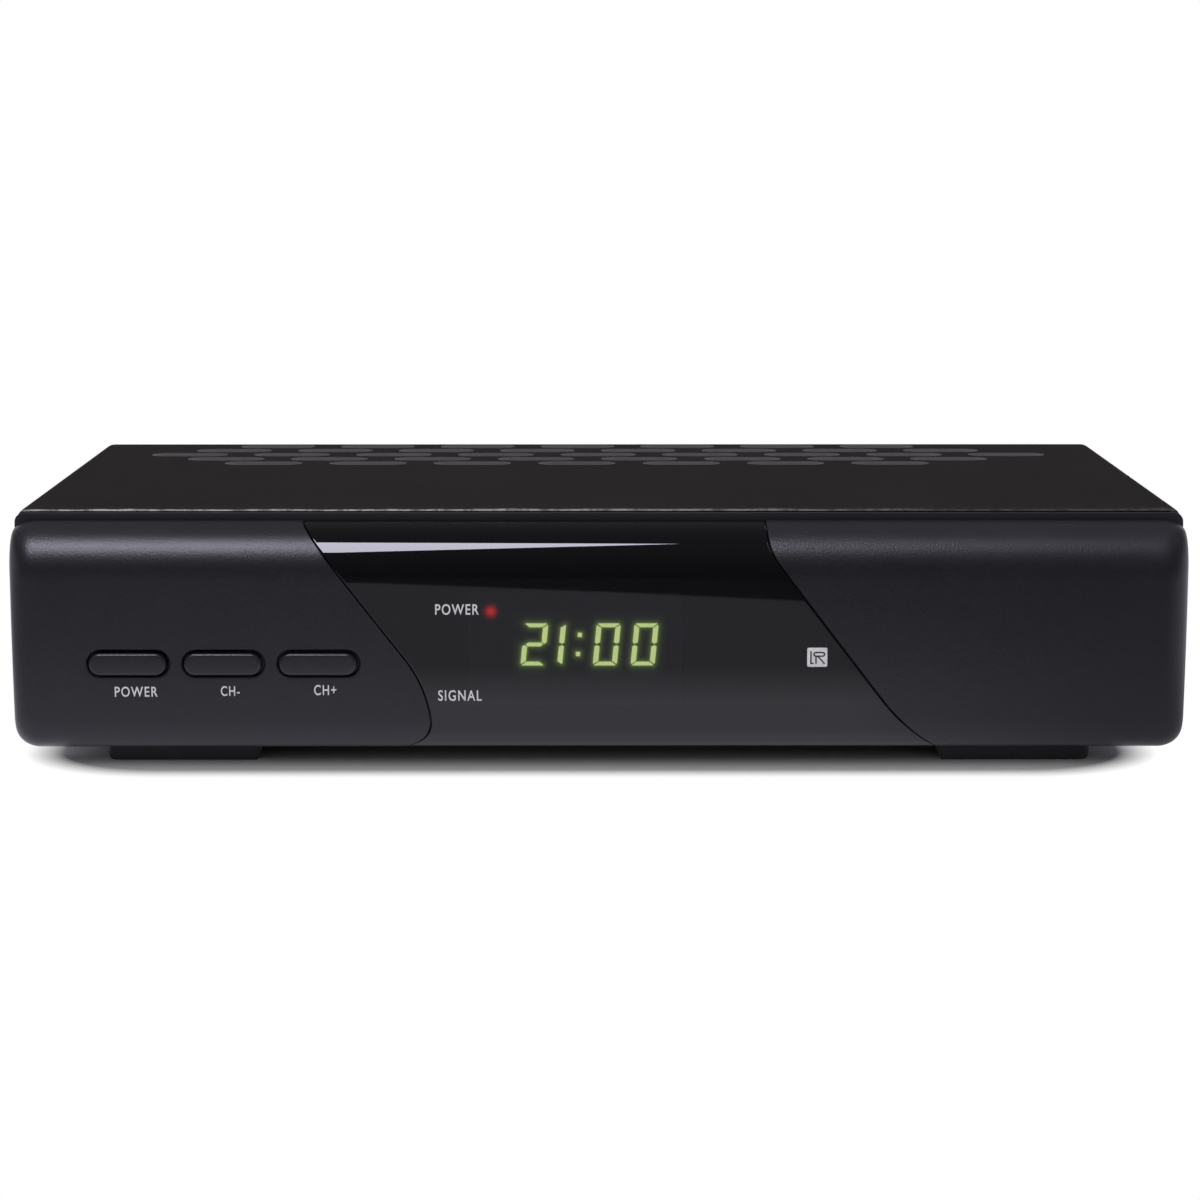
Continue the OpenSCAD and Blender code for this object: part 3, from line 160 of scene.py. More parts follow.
POWER_LAMP_Z = 29.4
SIGNAL_LAMP_Z = 13.8
LAMP_OPENING_R = 2.7
LAMP_FILM_R = 3.2
LAMP_FILM_Y = (2.36, 2.46)
LAMP_SPREAD = 0.88
EYE_X = 40.6
EYE_Z = 21.0
EYE_OPENING_R = 3.5

# Printed marks: name, words, and the box they fill in X and Z
LABELS = (("power_key_mark", "POWER", -90.2, 13.6, -82.2, 15.55),
          ("channel_down_mark", "CH-", -70.45, 13.75, -66.95, 15.65),
          ("channel_up_mark", "CH+", -53.1, 13.9, -48.95, 15.85),
          ("power_lamp_mark", "POWER", -30.45, 29.05, -22.35, 31.05),
          ("signal_lamp_mark", "SIGNAL", -30.0, 12.8, -21.9, 14.85))
EYE_PLATE = (38.65, 19.25, 42.4, 22.85)
INK_T = 0.03

# Camera, with its angles in degrees
CAMERA_AT = (-1.63, -638.63, 124.78)
CAMERA_DOWN = 8.2817
CAMERA_ASIDE = -0.158
CAMERA_LENS = 104.4
CAMERA_SENSOR = 36


def place(x, y, z):
    return Vector((x * MM, (y + FACE_Y) * MM, z * MM))


def linear(r, g, b):
    """The shader's colour for one written as it looks, from 0 to 255."""
    def one(v):
        v /= 255.0
        return v / 12.92 if v <= 0.04045 else ((v + 0.055) / 1.055) ** 2.4
    return (one(r), one(g), one(b), 1.0)


def smooth_step(a, b, v):
    t = min(max((v - a) / (b - a), 0.0), 1.0)
    return t * t * (3 - 2 * t)


# Mesh helpers

def linked(name, data):
    obj = bpy.data.objects.new(name, data)
    bpy.context.scene.collection.objects.link(obj)
    return obj


def discard(obj):
    mesh = obj.data
    bpy.data.objects.remove(obj)
    bpy.data.meshes.remove(mesh)


def weld(mesh, distance):
    """Joins doubled points and turns the faces outward."""
    bm = bmesh.new()
    bm.from_mesh(mesh)
    bmesh.ops.remove_doubles(bm, verts=bm.verts, dist=distance)
    bmesh.ops.recalc_face_normals(bm, faces=bm.faces)
    bm.to_mesh(mesh)
    bm.free()


def mesh_object(name, verts, faces, smooth_angle=None):
    mesh = bpy.data.meshes.new(name)
    mesh.from_pydata([tuple(v) for v in verts], [], faces)
    obj = linked(name, mesh)
    weld(mesh, 1e-7)
    if smooth_angle is not None:
        shade(obj, smooth_angle)
    return obj


def shade(obj, angle):
    mesh = obj.data
    mesh.polygons.foreach_set("use_smooth", [True] * len(mesh.polygons))
    mesh.set_sharp_from_angle(angle=math.radians(angle))


def settle(obj):
    """Applies the modifiers of obj to its mesh."""
    graph = bpy.context.evaluated_depsgraph_get()
    mesh = bpy.data.meshes.new_from_object(obj.evaluated_get(graph))
    obj.modifiers.clear()
    old = obj.data
    obj.data = mesh
    bpy.data.meshes.remove(old)


def join(name, parts):
    """One object from several, with their materials."""
    bm = bmesh.new()
    materials = []
    for part in parts:
        start = len(bm.faces)
        bm.from_mesh(part.data)
        bm.faces.ensure_lookup_table()
        slots = []
        for material in part.data.materials:
            if material not in materials:
                materials.append(material)
            slots.append(materials.index(material))
        for face in bm.faces[start:]:
            face.material_index = slots[face.material_index] if slots else 0
    mesh = bpy.data.meshes.new(name)
    bm.to_mesh(mesh)
    bm.free()
    for material in materials:
        mesh.materials.append(material)
    for part in parts:
        discard(part)
    return linked(name, mesh)


def cut_by(obj, cutters):
    """Takes the cutters out of obj."""
    for cutter in cutters:
        modifier = obj.modifiers.new("cut", "BOOLEAN")
        modifier.operation = "DIFFERENCE"
        modifier.solver = "EXACT"
        modifier.object = cutter
        settle(obj)
    for cutter in cutters:
        discard(cutter)


def grid_faces(rows, columns):
    faces = []
    for j in range(rows - 1):
        for i in range(columns - 1):
            a = j * columns + i
            faces.append((a, a + 1, a + columns + 1, a + columns))
    return faces


def loft(name, rings, smooth_angle=35, closed=False):
    """A solid through rings of equal count, capped at both ends or closed from the last to the first."""
    count, rows = len(rings[0]), len(rings)
    faces = []
    for j in range(rows if closed else rows - 1):
        here, there = j * count, (j + 1) % rows * count
        for i in range(count):
            k = (i + 1) % count
            faces.append((here + i, here + k, there + k, there + i))
    if not closed:
        faces += [tuple(range(count)), tuple(range((rows - 1) * count, rows * count))]
    return mesh_object(name, [p for ring in rings for p in ring], faces, smooth_angle)


def round_ring(x, z, r, y):
    steps = 48
    return [place(x + r * math.cos(2 * math.pi * i / steps), y, z + r * math.sin(2 * math.pi * i / steps))
            for i in range(steps)]


def lathe_y(name, x, z, path):
    """A solid of revolution about a line along Y: path holds radius and y."""
    return loft(name, [round_ring(x, z, r, y) for r, y in path])


def obround_points(w, h):
    r, steps = h / 2, 14
    points = []
    for side, start in ((1, -90), (-1, 90)):
        for i in range(steps + 1):
            a = math.radians(start + 180 * i / steps)
            points.append((side * (w / 2 - r) + r * math.cos(a), r * math.sin(a)))
    return points


def rect_points(x0, z0, x1, z1, r, steps=6):
    corners = ((x1 - r, z0 + r, -90), (x1 - r, z1 - r, 0), (x0 + r, z1 - r, 90), (x0 + r, z0 + r, 180))
    points = []
    for cx, cz, start in corners:
        for i in range(steps + 1):
            a = math.radians(start + 90 * i / steps)
            points.append((cx + r * math.cos(a), cz + r * math.sin(a)))
    return points


def slab(name, outline, y0, y1, edge=0.0):
    """An outline in X and Z drawn out from y0 to y1."""
    obj = loft(name, [[place(x, y, z) for x, z in outline] for y in (y0, y1)])
    if edge:
        soften(obj, edge)
    return obj


def soften(obj, width, angle=40):
    """Rounds the edges that turn by more than an angle."""
    modifier = obj.modifiers.new("edge", "BEVEL")
    modifier.width = width * MM
    modifier.segments = 2
    modifier.limit_method = "ANGLE"
    modifier.angle_limit = math.radians(angle)
    modifier.harden_normals = False
    settle(obj)
    shade(obj, 35)


def box_part(name, low, high, edge=0.0):
    outline = [(low[0], low[2]), (high[0], low[2]), (high[0], high[2]), (low[0], high[2])]
    return slab(name, outline, low[1], high[1], edge)


def outward(obj):
    """Turns the faces so that those in front look to -Y."""
    front = [p for p in obj.data.polygons if abs(p.normal.y) > 0.95]
    if sum(p.normal.y * p.area for p in front) > 0:
        obj.data.flip_normals()


def thicken(obj, depth):
    modifier = obj.modifiers.new("wall", "SOLIDIFY")
    modifier.thickness = depth * MM
    modifier.offset = -1
    modifier.use_even_offset = False
    settle(obj)


# Material helpers

def new_material(name):
    material = bpy.data.materials.new(name)
    material.use_nodes = True
    tree = material.node_tree
    return material, tree, tree.nodes["Principled BSDF"]


def node(tree, kind, **values):
    made = tree.nodes.new(kind)
    for key, value in values.items():
        setattr(made, key, value)
    return made


def feed(tree, made, values):
    """Gives a node its inputs in order: a number or a tuple is set, a socket is linked."""
    for index, value in enumerate(values):
        if isinstance(value, (int, float, tuple)):
            made.inputs[index].default_value = value
        else:
            tree.links.new(value, made.inputs[index])


def object_coords(tree):
    return node(tree, "ShaderNodeTexCoord").outputs["Object"]


def axes(tree, vector):
    made = node(tree, "ShaderNodeSeparateXYZ")
    tree.links.new(vector, made.inputs[0])
    return made.outputs


def stretched(tree, coords, scale):
    made = node(tree, "ShaderNodeMapping")
    made.inputs["Scale"].default_value = scale
    tree.links.new(coords, made.inputs["Vector"])
    return made.outputs["Vector"]


def noise(tree, scale, detail=2.0, coords=None, roughness=0.5):
    made = node(tree, "ShaderNodeTexNoise")
    made.inputs["Scale"].default_value = scale
    made.inputs["Detail"].default_value = detail
    made.inputs["Roughness"].default_value = roughness
    tree.links.new(object_coords(tree) if coords is None else coords, made.inputs["Vector"])
    return made.outputs["Fac"]


def ranged(tree, value, low, high, to_low, to_high):
    made = node(tree, "ShaderNodeMapRange")
    made.inputs["From Min"].default_value = low
    made.inputs["From Max"].default_value = high
    made.inputs["To Min"].default_value = to_low
    made.inputs["To Max"].default_value = to_high
    tree.links.new(value, made.inputs["Value"])
    return made.outputs["Result"]


def blend_colour(tree, factor, a, b):
    made = node(tree, "ShaderNodeMix", data_type="RGBA")
    tree.links.new(factor, made.inputs[0])
    for index, value in ((6, a), (7, b)):
        if isinstance(value, tuple):
            made.inputs[index].default_value = value
        else:
            tree.links.new(value, made.inputs[index])
    return made.outputs[2]


def math_node(tree, operation, *values, clamp=False):
    made = node(tree, "ShaderNodeMath", operation=operation, use_clamp=clamp)
    feed(tree, made, values)
    return made.outputs[0]


def product(tree, first, *others):
    for value in others:
        first = math_node(tree, "MULTIPLY", first, value)
    return first


def vector_node(tree, operation, *values):
    made = node(tree, "ShaderNodeVectorMath", operation=operation)
    feed(tree, made, values)
    return made.outputs["Value" if operation in ("DISTANCE", "LENGTH") else "Vector"]


def mix_shader(tree, factor, a, b):
    made = node(tree, "ShaderNodeMixShader")
    feed(tree, made, (factor, a, b))
    return made.outputs[0]


def bumped(tree, shader, height, strength, distance):
    made = node(tree, "ShaderNodeBump")
    made.inputs["Strength"].default_value = strength
    made.inputs["Distance"].default_value = distance
    tree.links.new(height, made.inputs["Height"])
    tree.links.new(made.outputs["Normal"], shader.inputs["Normal"])


def scaled(colour, k):
    return (colour[0] * k, colour[1] * k, colour[2] * k, 1.0)


# Materials

def grained(name, colour, rough, scale, strength, spread=0.12, specular=0.5, distance=0.00003):
    """Moulded or painted surface with a fine grain, and a tone and sheen that vary a little."""
    material, tree, shader = new_material(name)
    sheen = 0.025
    coords = object_coords(tree)
    fine = noise(tree, scale, 2.0, coords)
    broad = noise(tree, 45.0, 3.0, coords)
    tone = ranged(tree, broad, 0.3, 0.7, 0.0, 1.0)
    tree.links.new(blend_colour(tree, tone, scaled(colour, 1 - spread), scaled(colour, 1 + spread)),
                   shader.inputs["Base Color"])
    mixed = math_node(tree, "MULTIPLY_ADD", fine, 0.5, broad)
    tree.links.new(ranged(tree, mixed, 0.5, 1.0, rough - sheen, rough + sheen), shader.inputs["Roughness"])
    shader.inputs["Specular IOR Level"].default_value = specular
    bumped(tree, shader, fine, strength, distance)
    return material


def metal(name, colour, rough, scale=900.0, stretch=(1, 1, 1)):
    """Bare or plated metal with drawn or rolled marks."""
    material, tree, shader = new_material(name)
    lines = noise(tree, scale, 3.0, stretched(tree, object_coords(tree), stretch))
    tree.links.new(blend_colour(tree, lines, scaled(colour, 0.86), scaled(colour, 1.08)),
                   shader.inputs["Base Color"])
    tree.links.new(ranged(tree, lines, 0.3, 0.7, rough - 0.08, rough + 0.1), shader.inputs["Roughness"])
    shader.inputs["Metallic"].default_value = 1.0
    bumped(tree, shader, lines, 0.15, 0.00002)
    return material


def zinc_steel():
    """Galvanised sheet: a fine spangle under rolled lines."""
    material, tree, shader = new_material("zinc_steel")
    coords = object_coords(tree)
    cells = node(tree, "ShaderNodeTexVoronoi")
    cells.inputs["Scale"].default_value = 340.0
    tree.links.new(coords, cells.inputs["Vector"])
    grey = node(tree, "ShaderNodeSeparateColor")
    tree.links.new(cells.outputs["Color"], grey.inputs[0])
    lines = noise(tree, 900.0, 3.0, stretched(tree, coords, (0.04, 1, 1)))
    spangle = math_node(tree, "MULTIPLY_ADD", grey.outputs[0], 0.55, product(tree, lines, 0.45))
    tree.links.new(blend_colour(tree, spangle, (0.43, 0.44, 0.45, 1), (0.53, 0.54, 0.55, 1)),
                   shader.inputs["Base Color"])
    tree.links.new(ranged(tree, spangle, 0.1, 0.9, 0.36, 0.48), shader.inputs["Roughness"])
    shader.inputs["Metallic"].default_value = 1.0
    bumped(tree, shader, lines, 0.12, 0.00002)
    return material


def cover_paint():
    """Textured black paint over steel, with the cut edges that face the front painted paler as painted
    light, and bare streaks along the front one painted white as a painted glint.
    """
    material, tree, shader = new_material("cover_paint")
    coords = object_coords(tree)
    fine = noise(tree, 2600.0, 2.0, coords)
    broad = noise(tree, 30.0, 3.0, coords)
    tone = ranged(tree, broad, 0.3, 0.7, 0.0, 1.0)
    paint = blend_colour(tree, tone, linear(25, 21, 23), linear(29, 25, 27))
    turned = axes(tree, node(tree, "ShaderNodeNewGeometry").outputs["True Normal"])
    at = axes(tree, coords)
    underside = (COVER_TOP - SHEET_T) * MM
    # Cut edges are the walls of the slots in the top sheet, and the front edge
    upright = math_node(tree, "LESS_THAN", math_node(tree, "ABSOLUTE", turned["Z"]), 0.5)
    within = math_node(tree, "LESS_THAN", math_node(tree, "ABSOLUTE", at["X"]), 0.105)
    level = math_node(tree, "GREATER_THAN", at["Z"], underside - 0.00005)
    slot_wall = product(tree, upright, within, level)
    front = product(tree, math_node(tree, "LESS_THAN", turned["Y"], -0.9),
                    math_node(tree, "LESS_THAN", at["Y"], -0.05))
    edge = math_node(tree, "MAXIMUM", slot_wall, front)
    # Bare metal shows in broken streaks below a wavering line, fewer of them to the right. The streaks are
    # painted white as a painted glint, and the paint above them is painted lighter as painted light
    creep = noise(tree, 70.0, 4.0, coords, 0.6)
    chips = noise(tree, 420.0, 3.0, coords, 0.65)
    line = math_node(tree, "MULTIPLY_ADD", creep, 0.0006, underside + 0.00004)
    low = ranged(tree, math_node(tree, "SUBTRACT", at["Z"], line), -0.00006, 0.00006, 1.0, 0.0)
    streaks = ranged(tree, chips, 0.38, 0.56, 0.3, 1.0)
    kept = ranged(tree, at["X"], -0.05, 0.07, 1.0, 0.12)
    bare_streaks_and_glint = product(tree, streaks, kept, low, level)
    # Painted light: the front edge's paint is painted lighter than the top's, and its bare streaks are
    # painted white as a glint
    front_edge_wear_and_glint = blend_colour(tree, bare_streaks_and_glint, linear(72, 68, 71), linear(255, 254, 255))
    # Painted light: the slot walls, which face the front, are painted pale grey
    slot_wall_painted_light = blend_colour(tree, chips, linear(136, 130, 139), linear(158, 152, 161))
    cut_edge_wear_and_light = blend_colour(tree, front, slot_wall_painted_light, front_edge_wear_and_glint)
    tree.links.new(blend_colour(tree, edge, paint, cut_edge_wear_and_light), shader.inputs["Base Color"])
    dull = ranged(tree, fine, 0.3, 0.7, 0.8, 0.9)
    bare = product(tree, edge, front, bare_streaks_and_glint)
    tree.links.new(math_node(tree, "MULTIPLY_ADD", bare, -0.3, dull), shader.inputs["Roughness"])
    shader.inputs["Specular IOR Level"].default_value = 0.05
    bumped(tree, shader, fine, 0.25, 0.00004)
    return material


def smoked_window():
    """Smoked acrylic, polished in front and printed black behind, but for the display and the lamps."""
    material, tree, shader = new_material("smoked_window")
    coords = object_coords(tree)
    haze = noise(tree, 60.0, 3.0, coords)
    at = axes(tree, coords)
    spans = []
    for axis, middle, half in zip("XZ", CLEAR_AT, CLEAR_HALF):
        off = math_node(tree, "ABSOLUTE", math_node(tree, "ADD", at[axis], -middle * MM))
        spans.append(ranged(tree, off, (half - CLEAR_FADE) * MM, half * MM, 1.0, 0.0))
    clear = product(tree, *spans)
    smoke = blend_colour(tree, haze, (0.033, 0.033, 0.044, 1), (0.037, 0.037, 0.048, 1))
    black = blend_colour(tree, haze, (0.0030, 0.0030, 0.0042, 1), (0.0036, 0.0036, 0.0050, 1))
    tree.links.new(blend_colour(tree, math_node(tree, "GREATER_THAN", clear, 0.999), black, smoke),
                   shader.inputs["Base Color"])
    tree.links.new(ranged(tree, haze, 0.3, 0.7, 0.015, 0.035), shader.inputs["Roughness"])
    tree.links.new(product(tree, clear, 0.9), shader.inputs["Transmission Weight"])
    shader.inputs["IOR"].default_value = 1.5
    return material


def lit(name, colour, strength):
    """A lit bar or lens."""
    material, tree, shader = new_material(name)
    shader.inputs["Base Color"].default_value = scaled(colour, 0.4)
    shader.inputs["Roughness"].default_value = 0.4
    shader.inputs["Emission Strength"].default_value = strength
    grain = noise(tree, 700.0)
    tree.links.new(blend_colour(tree, grain, scaled(colour, 0.9), scaled(colour, 1.1)),
                   shader.inputs["Emission Color"])
    return material


def dark_film(name):
    """The dark face of a film that is lit from behind."""
    material, tree, shader = new_material(name)
    shader.inputs["Base Color"].default_value = (0.012, 0.012, 0.012, 1)
    shader.inputs["Roughness"].default_value = 0.6
    bumped(tree, shader, noise(tree, 2000.0), 0.1, 0.00002)
    return material, tree, shader


def glowing_spot(name, colour, strength, x, z, spread):
    """A film lit by a lamp at x and z, fading away from it."""
    material, tree, shader = dark_film(name)
    shader.inputs["Emission Color"].default_value = colour
    flat = vector_node(tree, "MULTIPLY", object_coords(tree), (1 / (spread * MM), 0, 1 / (spread * MM)))
    off = vector_node(tree, "DISTANCE", flat, (x / spread, 0, z / spread))
    fall = math_node(tree, "EXPONENT", product(tree, math_node(tree, "POWER", off, 2.0), -1.0))
    tree.links.new(product(tree, fall, strength), shader.inputs["Emission Strength"])
    return material


def glowing_film():
    """The face of the display, with the light that spreads round the lit bars."""
    material, tree, shader = dark_film("display_film")
    glow = node(tree, "ShaderNodeAttribute", attribute_name="glow")
    tree.links.new(glow.outputs["Color"], shader.inputs["Emission Color"])
    shader.inputs["Emission Strength"].default_value = 1.0
    return material


def ink(name, colour):
    material, tree, shader = new_material(name)
    wear = noise(tree, 1500.0, 3.0)
    tree.links.new(blend_colour(tree, wear, scaled(colour, 0.85), scaled(colour, 1.1)),
                   shader.inputs["Base Color"])
    shader.inputs["Roughness"].default_value = 0.55
    bumped(tree, shader, wear, 0.08, 0.00001)
    return material


FASCIA = grained("fascia_plastic", linear(36, 35, 43), 0.34, 3300.0, 0.5, 0.06, 0.38, 0.00008)
# Painted light: the collar takes the fascia's plastic painted lighter, since the strip lies in shade
COLLAR_PAINTED_LIGHT = grained("collar_plastic_painted_light", linear(47, 46, 53), 0.45, 2900.0, 0.3, 0.06, 0.3)
BUTTON = grained("button_plastic", linear(40, 39, 46), 0.36, 2600.0, 0.16, 0.05, 0.4)
FOOT = grained("foot_plastic", linear(38, 38, 42), 0.6, 1500.0, 0.25, 0.08, 0.35)
COVER = cover_paint()
ZINC = zinc_steel()
WINDOW = smoked_window()
SCREW = metal("screw_steel", linear(58, 57, 56), 0.38, 1800.0)
LAMINATE = grained("board_laminate", linear(28, 92, 52), 0.45, 1800.0, 0.1)
DARK = grained("dark_plastic", linear(24, 24, 26), 0.42, 1700.0, 0.16, 0.08)
SEGMENT = lit("lit_segments", (0.78, 0.96, 0.28, 1), 21.5)
RED = lit("red_lamp", (0.80, 0.015, 0.025, 1), 4.9)
GREEN = grained("green_lamp", linear(16, 40, 22), 0.3, 900.0, 0.05)
SWITCH = metal("switch_steel", linear(190, 190, 188), 0.32)
PALE = grained("pale_plastic", linear(214, 208, 192), 0.5, 1600.0, 0.1)
JACKET = grained("cable_jacket", linear(120, 118, 116), 0.5, 1200.0, 0.2)
NICKEL = metal("nickel", linear(205, 202, 194), 0.24, 1300.0, (1, 0.2, 1))
ORANGE = grained("orange_plastic", linear(208, 118, 24), 0.4, 1500.0, 0.1)
ALUMINIUM = metal("heat_sink_metal", linear(196, 198, 202), 0.36, 1500.0, (0.1, 1, 1))
BRASS = metal("standoff_brass", linear(206, 172, 96), 0.28)
SLEEVE = grained("capacitor_sleeve", linear(22, 26, 46), 0.35, 1200.0, 0.05)
WINDING = grained("winding", linear(186, 150, 50), 0.45, 1600.0, 0.2)
INK = ink("print_ink", linear(240, 240, 246))
DARK_INK = ink("dark_ink", linear(38, 38, 42))
FILM = glowing_film()
LAMP_FILM = glowing_spot("lamp_film", (0.80, 0.012, 0.022, 1), 19.5, LAMP_X, POWER_LAMP_Z, LAMP_SPREAD)

SLOT_MATERIALS = {
    "black_paint": COVER, "zinc_steel": ZINC, "fascia_plastic": FASCIA, "smoked_window": WINDOW,
    "button_plastic": BUTTON, "foot_plastic": FOOT, "screw_steel": SCREW, "board_laminate": LAMINATE,
    "dark_plastic": DARK, "lit_segments": SEGMENT, "red_lamp": RED, "green_lamp": GREEN,
    "switch_steel": SWITCH, "pale_plastic": PALE, "cable_jacket": JACKET, "nickel": NICKEL,
    "orange_plastic": ORANGE, "heat_sink_metal": ALUMINIUM, "standoff_brass": BRASS,
    "capacitor_sleeve": SLEEVE, "winding": WINDING}

# Every carried-over solid takes the finish of its slot
for obj in nodes.values():
    for index, slot in enumerate(obj.material_slots):
        base = slot.material.name.split(".")[0] if slot.material else ""
        if base in SLOT_MATERIALS:
            obj.data.materials[index] = SLOT_MATERIALS[base]


def tinted(obj, material):
    obj.data.materials.clear()
    obj.data.materials.append(material)
    return obj


def piece(obj, material, body, slot, *replaced):
    if material is not None:
        tinted(obj, material)
    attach(obj, body)
    if replaced:
        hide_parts(*replaced)
    return obj


# Fascia and window share one section: top, fillet, crowned face, fillet, underside

def section():
    """Points (y, z, normal y, normal z) from the top's back edge round the front to the underside's."""
    half = (Z_TOP - FACE_LOW) / 2
    mid = (Z_TOP + FACE_LOW) / 2
    big = (half * half + CROWN * CROWN) / (2 * CROWN)
    flats = 3

    def centre(z, r):
        return big - math.sqrt((big - r) ** 2 - (z - mid) ** 2)

    top, low = Z_TOP - TOP_R, Z_BOTTOM + BOTTOM_R
    top_y, low_y = centre(top, TOP_R), centre(low, BOTTOM_R)
    a_top = math.degrees(math.atan2(top - mid, big - top_y))
    a_low = math.degrees(math.atan2(low - mid, big - low_y))
    points = [(SHELL_BACK + (top_y - SHELL_BACK) * i / flats, Z_TOP, 0.0, 1.0) for i in range(flats)]

    def turn(cy, cz, r, a0, a1, steps, last):
        for i in range(steps + (1 if last else 0)):
            a = math.radians(a0 + (a1 - a0) * i / steps)
            points.append((cy - r * math.cos(a), cz + r * math.sin(a), -math.cos(a), math.sin(a)))

    turn(top_y, top, TOP_R, 90, a_top, 22, False)
    turn(big, mid, big, a_top, a_low, 40, False)
    turn(low_y, low, BOTTOM_R, a_low, -90, 16, True)
    points += [(low_y + (SHELL_BACK - low_y) * i / flats, Z_BOTTOM, 0.0, -1.0) for i in range(1, flats + 1)]
    return points


SECTION = section()


def face_y(z):
    """Depth of the front surface at height z."""
    for (y0, z0, _, _), (y1, z1, _, _) in zip(SECTION, SECTION[1:]):
        if z0 >= z >= z1 and z0 > z1:
            return y0 + (y1 - y0) * (z0 - z) / (z0 - z1)
    return 0.0


def ray(a):
    return Vector((math.cos(math.radians(a)), math.sin(math.radians(a))))


def arc(c, r, a0, a1):
    steps = 24
    return [c + r * ray(a0 + (a1 - a0) * i / steps) for i in range(steps + 1)]


def left_edge():
    """The window's left edge from the top down: a slant, a wide bend and a small nose."""
    nose = Vector((LEFT_NOSE_X - LEFT_NOSE_R, FACE_LOW + LEFT_NOSE_UP))
    bend = nose - (LEFT_BEND_R - LEFT_NOSE_R) * ray(LEFT_TURN)
    start = bend + LEFT_BEND_R * ray(LEFT_SLOPE)
    end = nose + LEFT_NOSE_R * ray(LEFT_NOSE_END)
    rise = (EDGE_HEAD - start.y) / math.cos(math.radians(LEFT_SLOPE))
    fall = end.y / math.cos(math.radians(LEFT_NOSE_END))
    return ([start + rise * ray(LEFT_SLOPE + 90)] + arc(bend, LEFT_BEND_R, LEFT_SLOPE, LEFT_TURN)
            + arc(nose, LEFT_NOSE_R, LEFT_TURN, LEFT_NOSE_END) + [end + fall * ray(LEFT_NOSE_END - 90)])


def right_edge():
    """The window's right edge from the top down: a bend, a slant and a wide bend."""
    top = Vector((RIGHT_X + RIGHT_TOP_R, Z_TOP))
    a = 180 + RIGHT_SLOPE
    top_end = top + RIGHT_TOP_R * ray(a)
    run = (top_end.y - FACE_LOW - RIGHT_BEND_UP) / math.cos(math.radians(RIGHT_SLOPE))
    bend = top_end + run * ray(a + 90) - RIGHT_BEND_R * ray(a)
    last = a + RIGHT_TURN
    end = bend + RIGHT_BEND_R * ray(last)
    fall = end.y / math.cos(math.radians(last + 180))
    return ([Vector((RIGHT_X, EDGE_HEAD))] + arc(top, RIGHT_TOP_R, 180, a) + arc(bend, RIGHT_BEND_R, a, last)
            + [end + fall * ray(last + 90)])


LEFT, RIGHT = left_edge(), right_edge()


def edge_x(edge, z):
    for p, q in zip(edge, edge[1:]):
        if p.y >= z >= q.y and p.y > q.y:
            return p.x + (q.x - p.x) * (p.y - z) / (p.y - q.y)
    return edge[-1].x


def fascia_panel(name, side, edge, columns):
    """The shell between one end and the window's edge on that side."""
    turns = 12
    total = turns + columns + 1
    verts = []
    for y, z, ny, nz in SECTION:
        near = edge_x(edge, z) + side * GROOVE / 2
        start = side * (HALF_W - END_X)
        spread = END_FRONT * ny * ny + (END_TOP if nz > 0 else END_BOTTOM) * nz * nz
        for i in range(total):
            if i < turns:
                a = math.radians(90 - 90 * i / turns)
                x = side * (HALF_W - END_X * (1 - math.sin(a)))
                inset = spread * (1 - math.cos(a))
            else:
                x = start + (near - start) * (i - turns) / columns
                inset = 0.0
            lean = DRAFT * (Z_TOP - z) / (Z_TOP - Z_BOTTOM) * smooth_step(*DRAFT_SPAN, abs(x))
            verts.append(place(x - side * lean, y - ny * inset, z - nz * inset))
    faces = grid_faces(len(SECTION), total)
    faces.append(tuple(j * total for j in range(len(SECTION))))
    obj = mesh_object(name, verts, faces)
    outward(obj)
    thicken(obj, SHELL_T)
    return obj


QUARTER = [math.radians(a) for a in range(15, 91, 15)]


def button_rings(x, z, grow, path):
    """Rings of a button's outline: path holds how far each stands out, and its y."""
    rings = []
    for d, y in path:
        outline = obround_points(BUTTON_W + 2 * (grow + d), BUTTON_H + 2 * (grow + d))
        rings.append([place(x + u, y, z + v) for u, v in outline])
    return rings


def hole_cutter(x):
    path = [(0, 4.0), (0, HOLE_FACE)]
    path += [(HOLE_LIP * (1 - math.cos(a)), HOLE_FACE - HOLE_LIP * math.sin(a)) for a in QUARTER]
    path += [(HOLE_LIP, -2.0)]
    return loft("hole", button_rings(x, BUTTON_Z, BUTTON_GAP, path))


def neck_room(low):
    """The space inside the neck above a height."""
    half = NECK_HALF - NECK_WALL
    outline = rect_points(-half, low, half, NECK_TOP - NECK_WALL, 1)
    return slab("room", outline, NECK_FRONT - 2, NECK_BACK + 2)


def window_seat():
    """The wall behind the window, open for the display, the lamps and the eye."""
    (left, right), columns = SEAT_SPAN, 24
    rows = [p for p in SECTION if p[0] <= SEAT_BACK]
    verts = []
    for y, z, ny, nz in rows:
        for i in range(columns + 1):
            x = left + (right - left) * i / columns
            verts.append(place(x, y - ny * SEAT_DEPTH, z - nz * SEAT_DEPTH))
    obj = mesh_object("seat", verts, grid_faces(len(rows), columns + 1))
    outward(obj)
    thicken(obj, SEAT_T)
    w, h = OPENING_HALF
    openings = [box_part("opening", (DISPLAY_X - w, 0, DISPLAY_Z - h),
                         (DISPLAY_X + w, SEAT_REACH, DISPLAY_Z + h))]
    for x, z, r in ((LAMP_X, POWER_LAMP_Z, LAMP_OPENING_R), (LAMP_X, SIGNAL_LAMP_Z, LAMP_OPENING_R),
                    (EYE_X, EYE_Z, EYE_OPENING_R)):
        openings.append(lathe_y("opening", x, z, [(r, 0), (r, SEAT_REACH)]))
    cut_by(obj, openings)
    shade(obj, 30)
    return obj


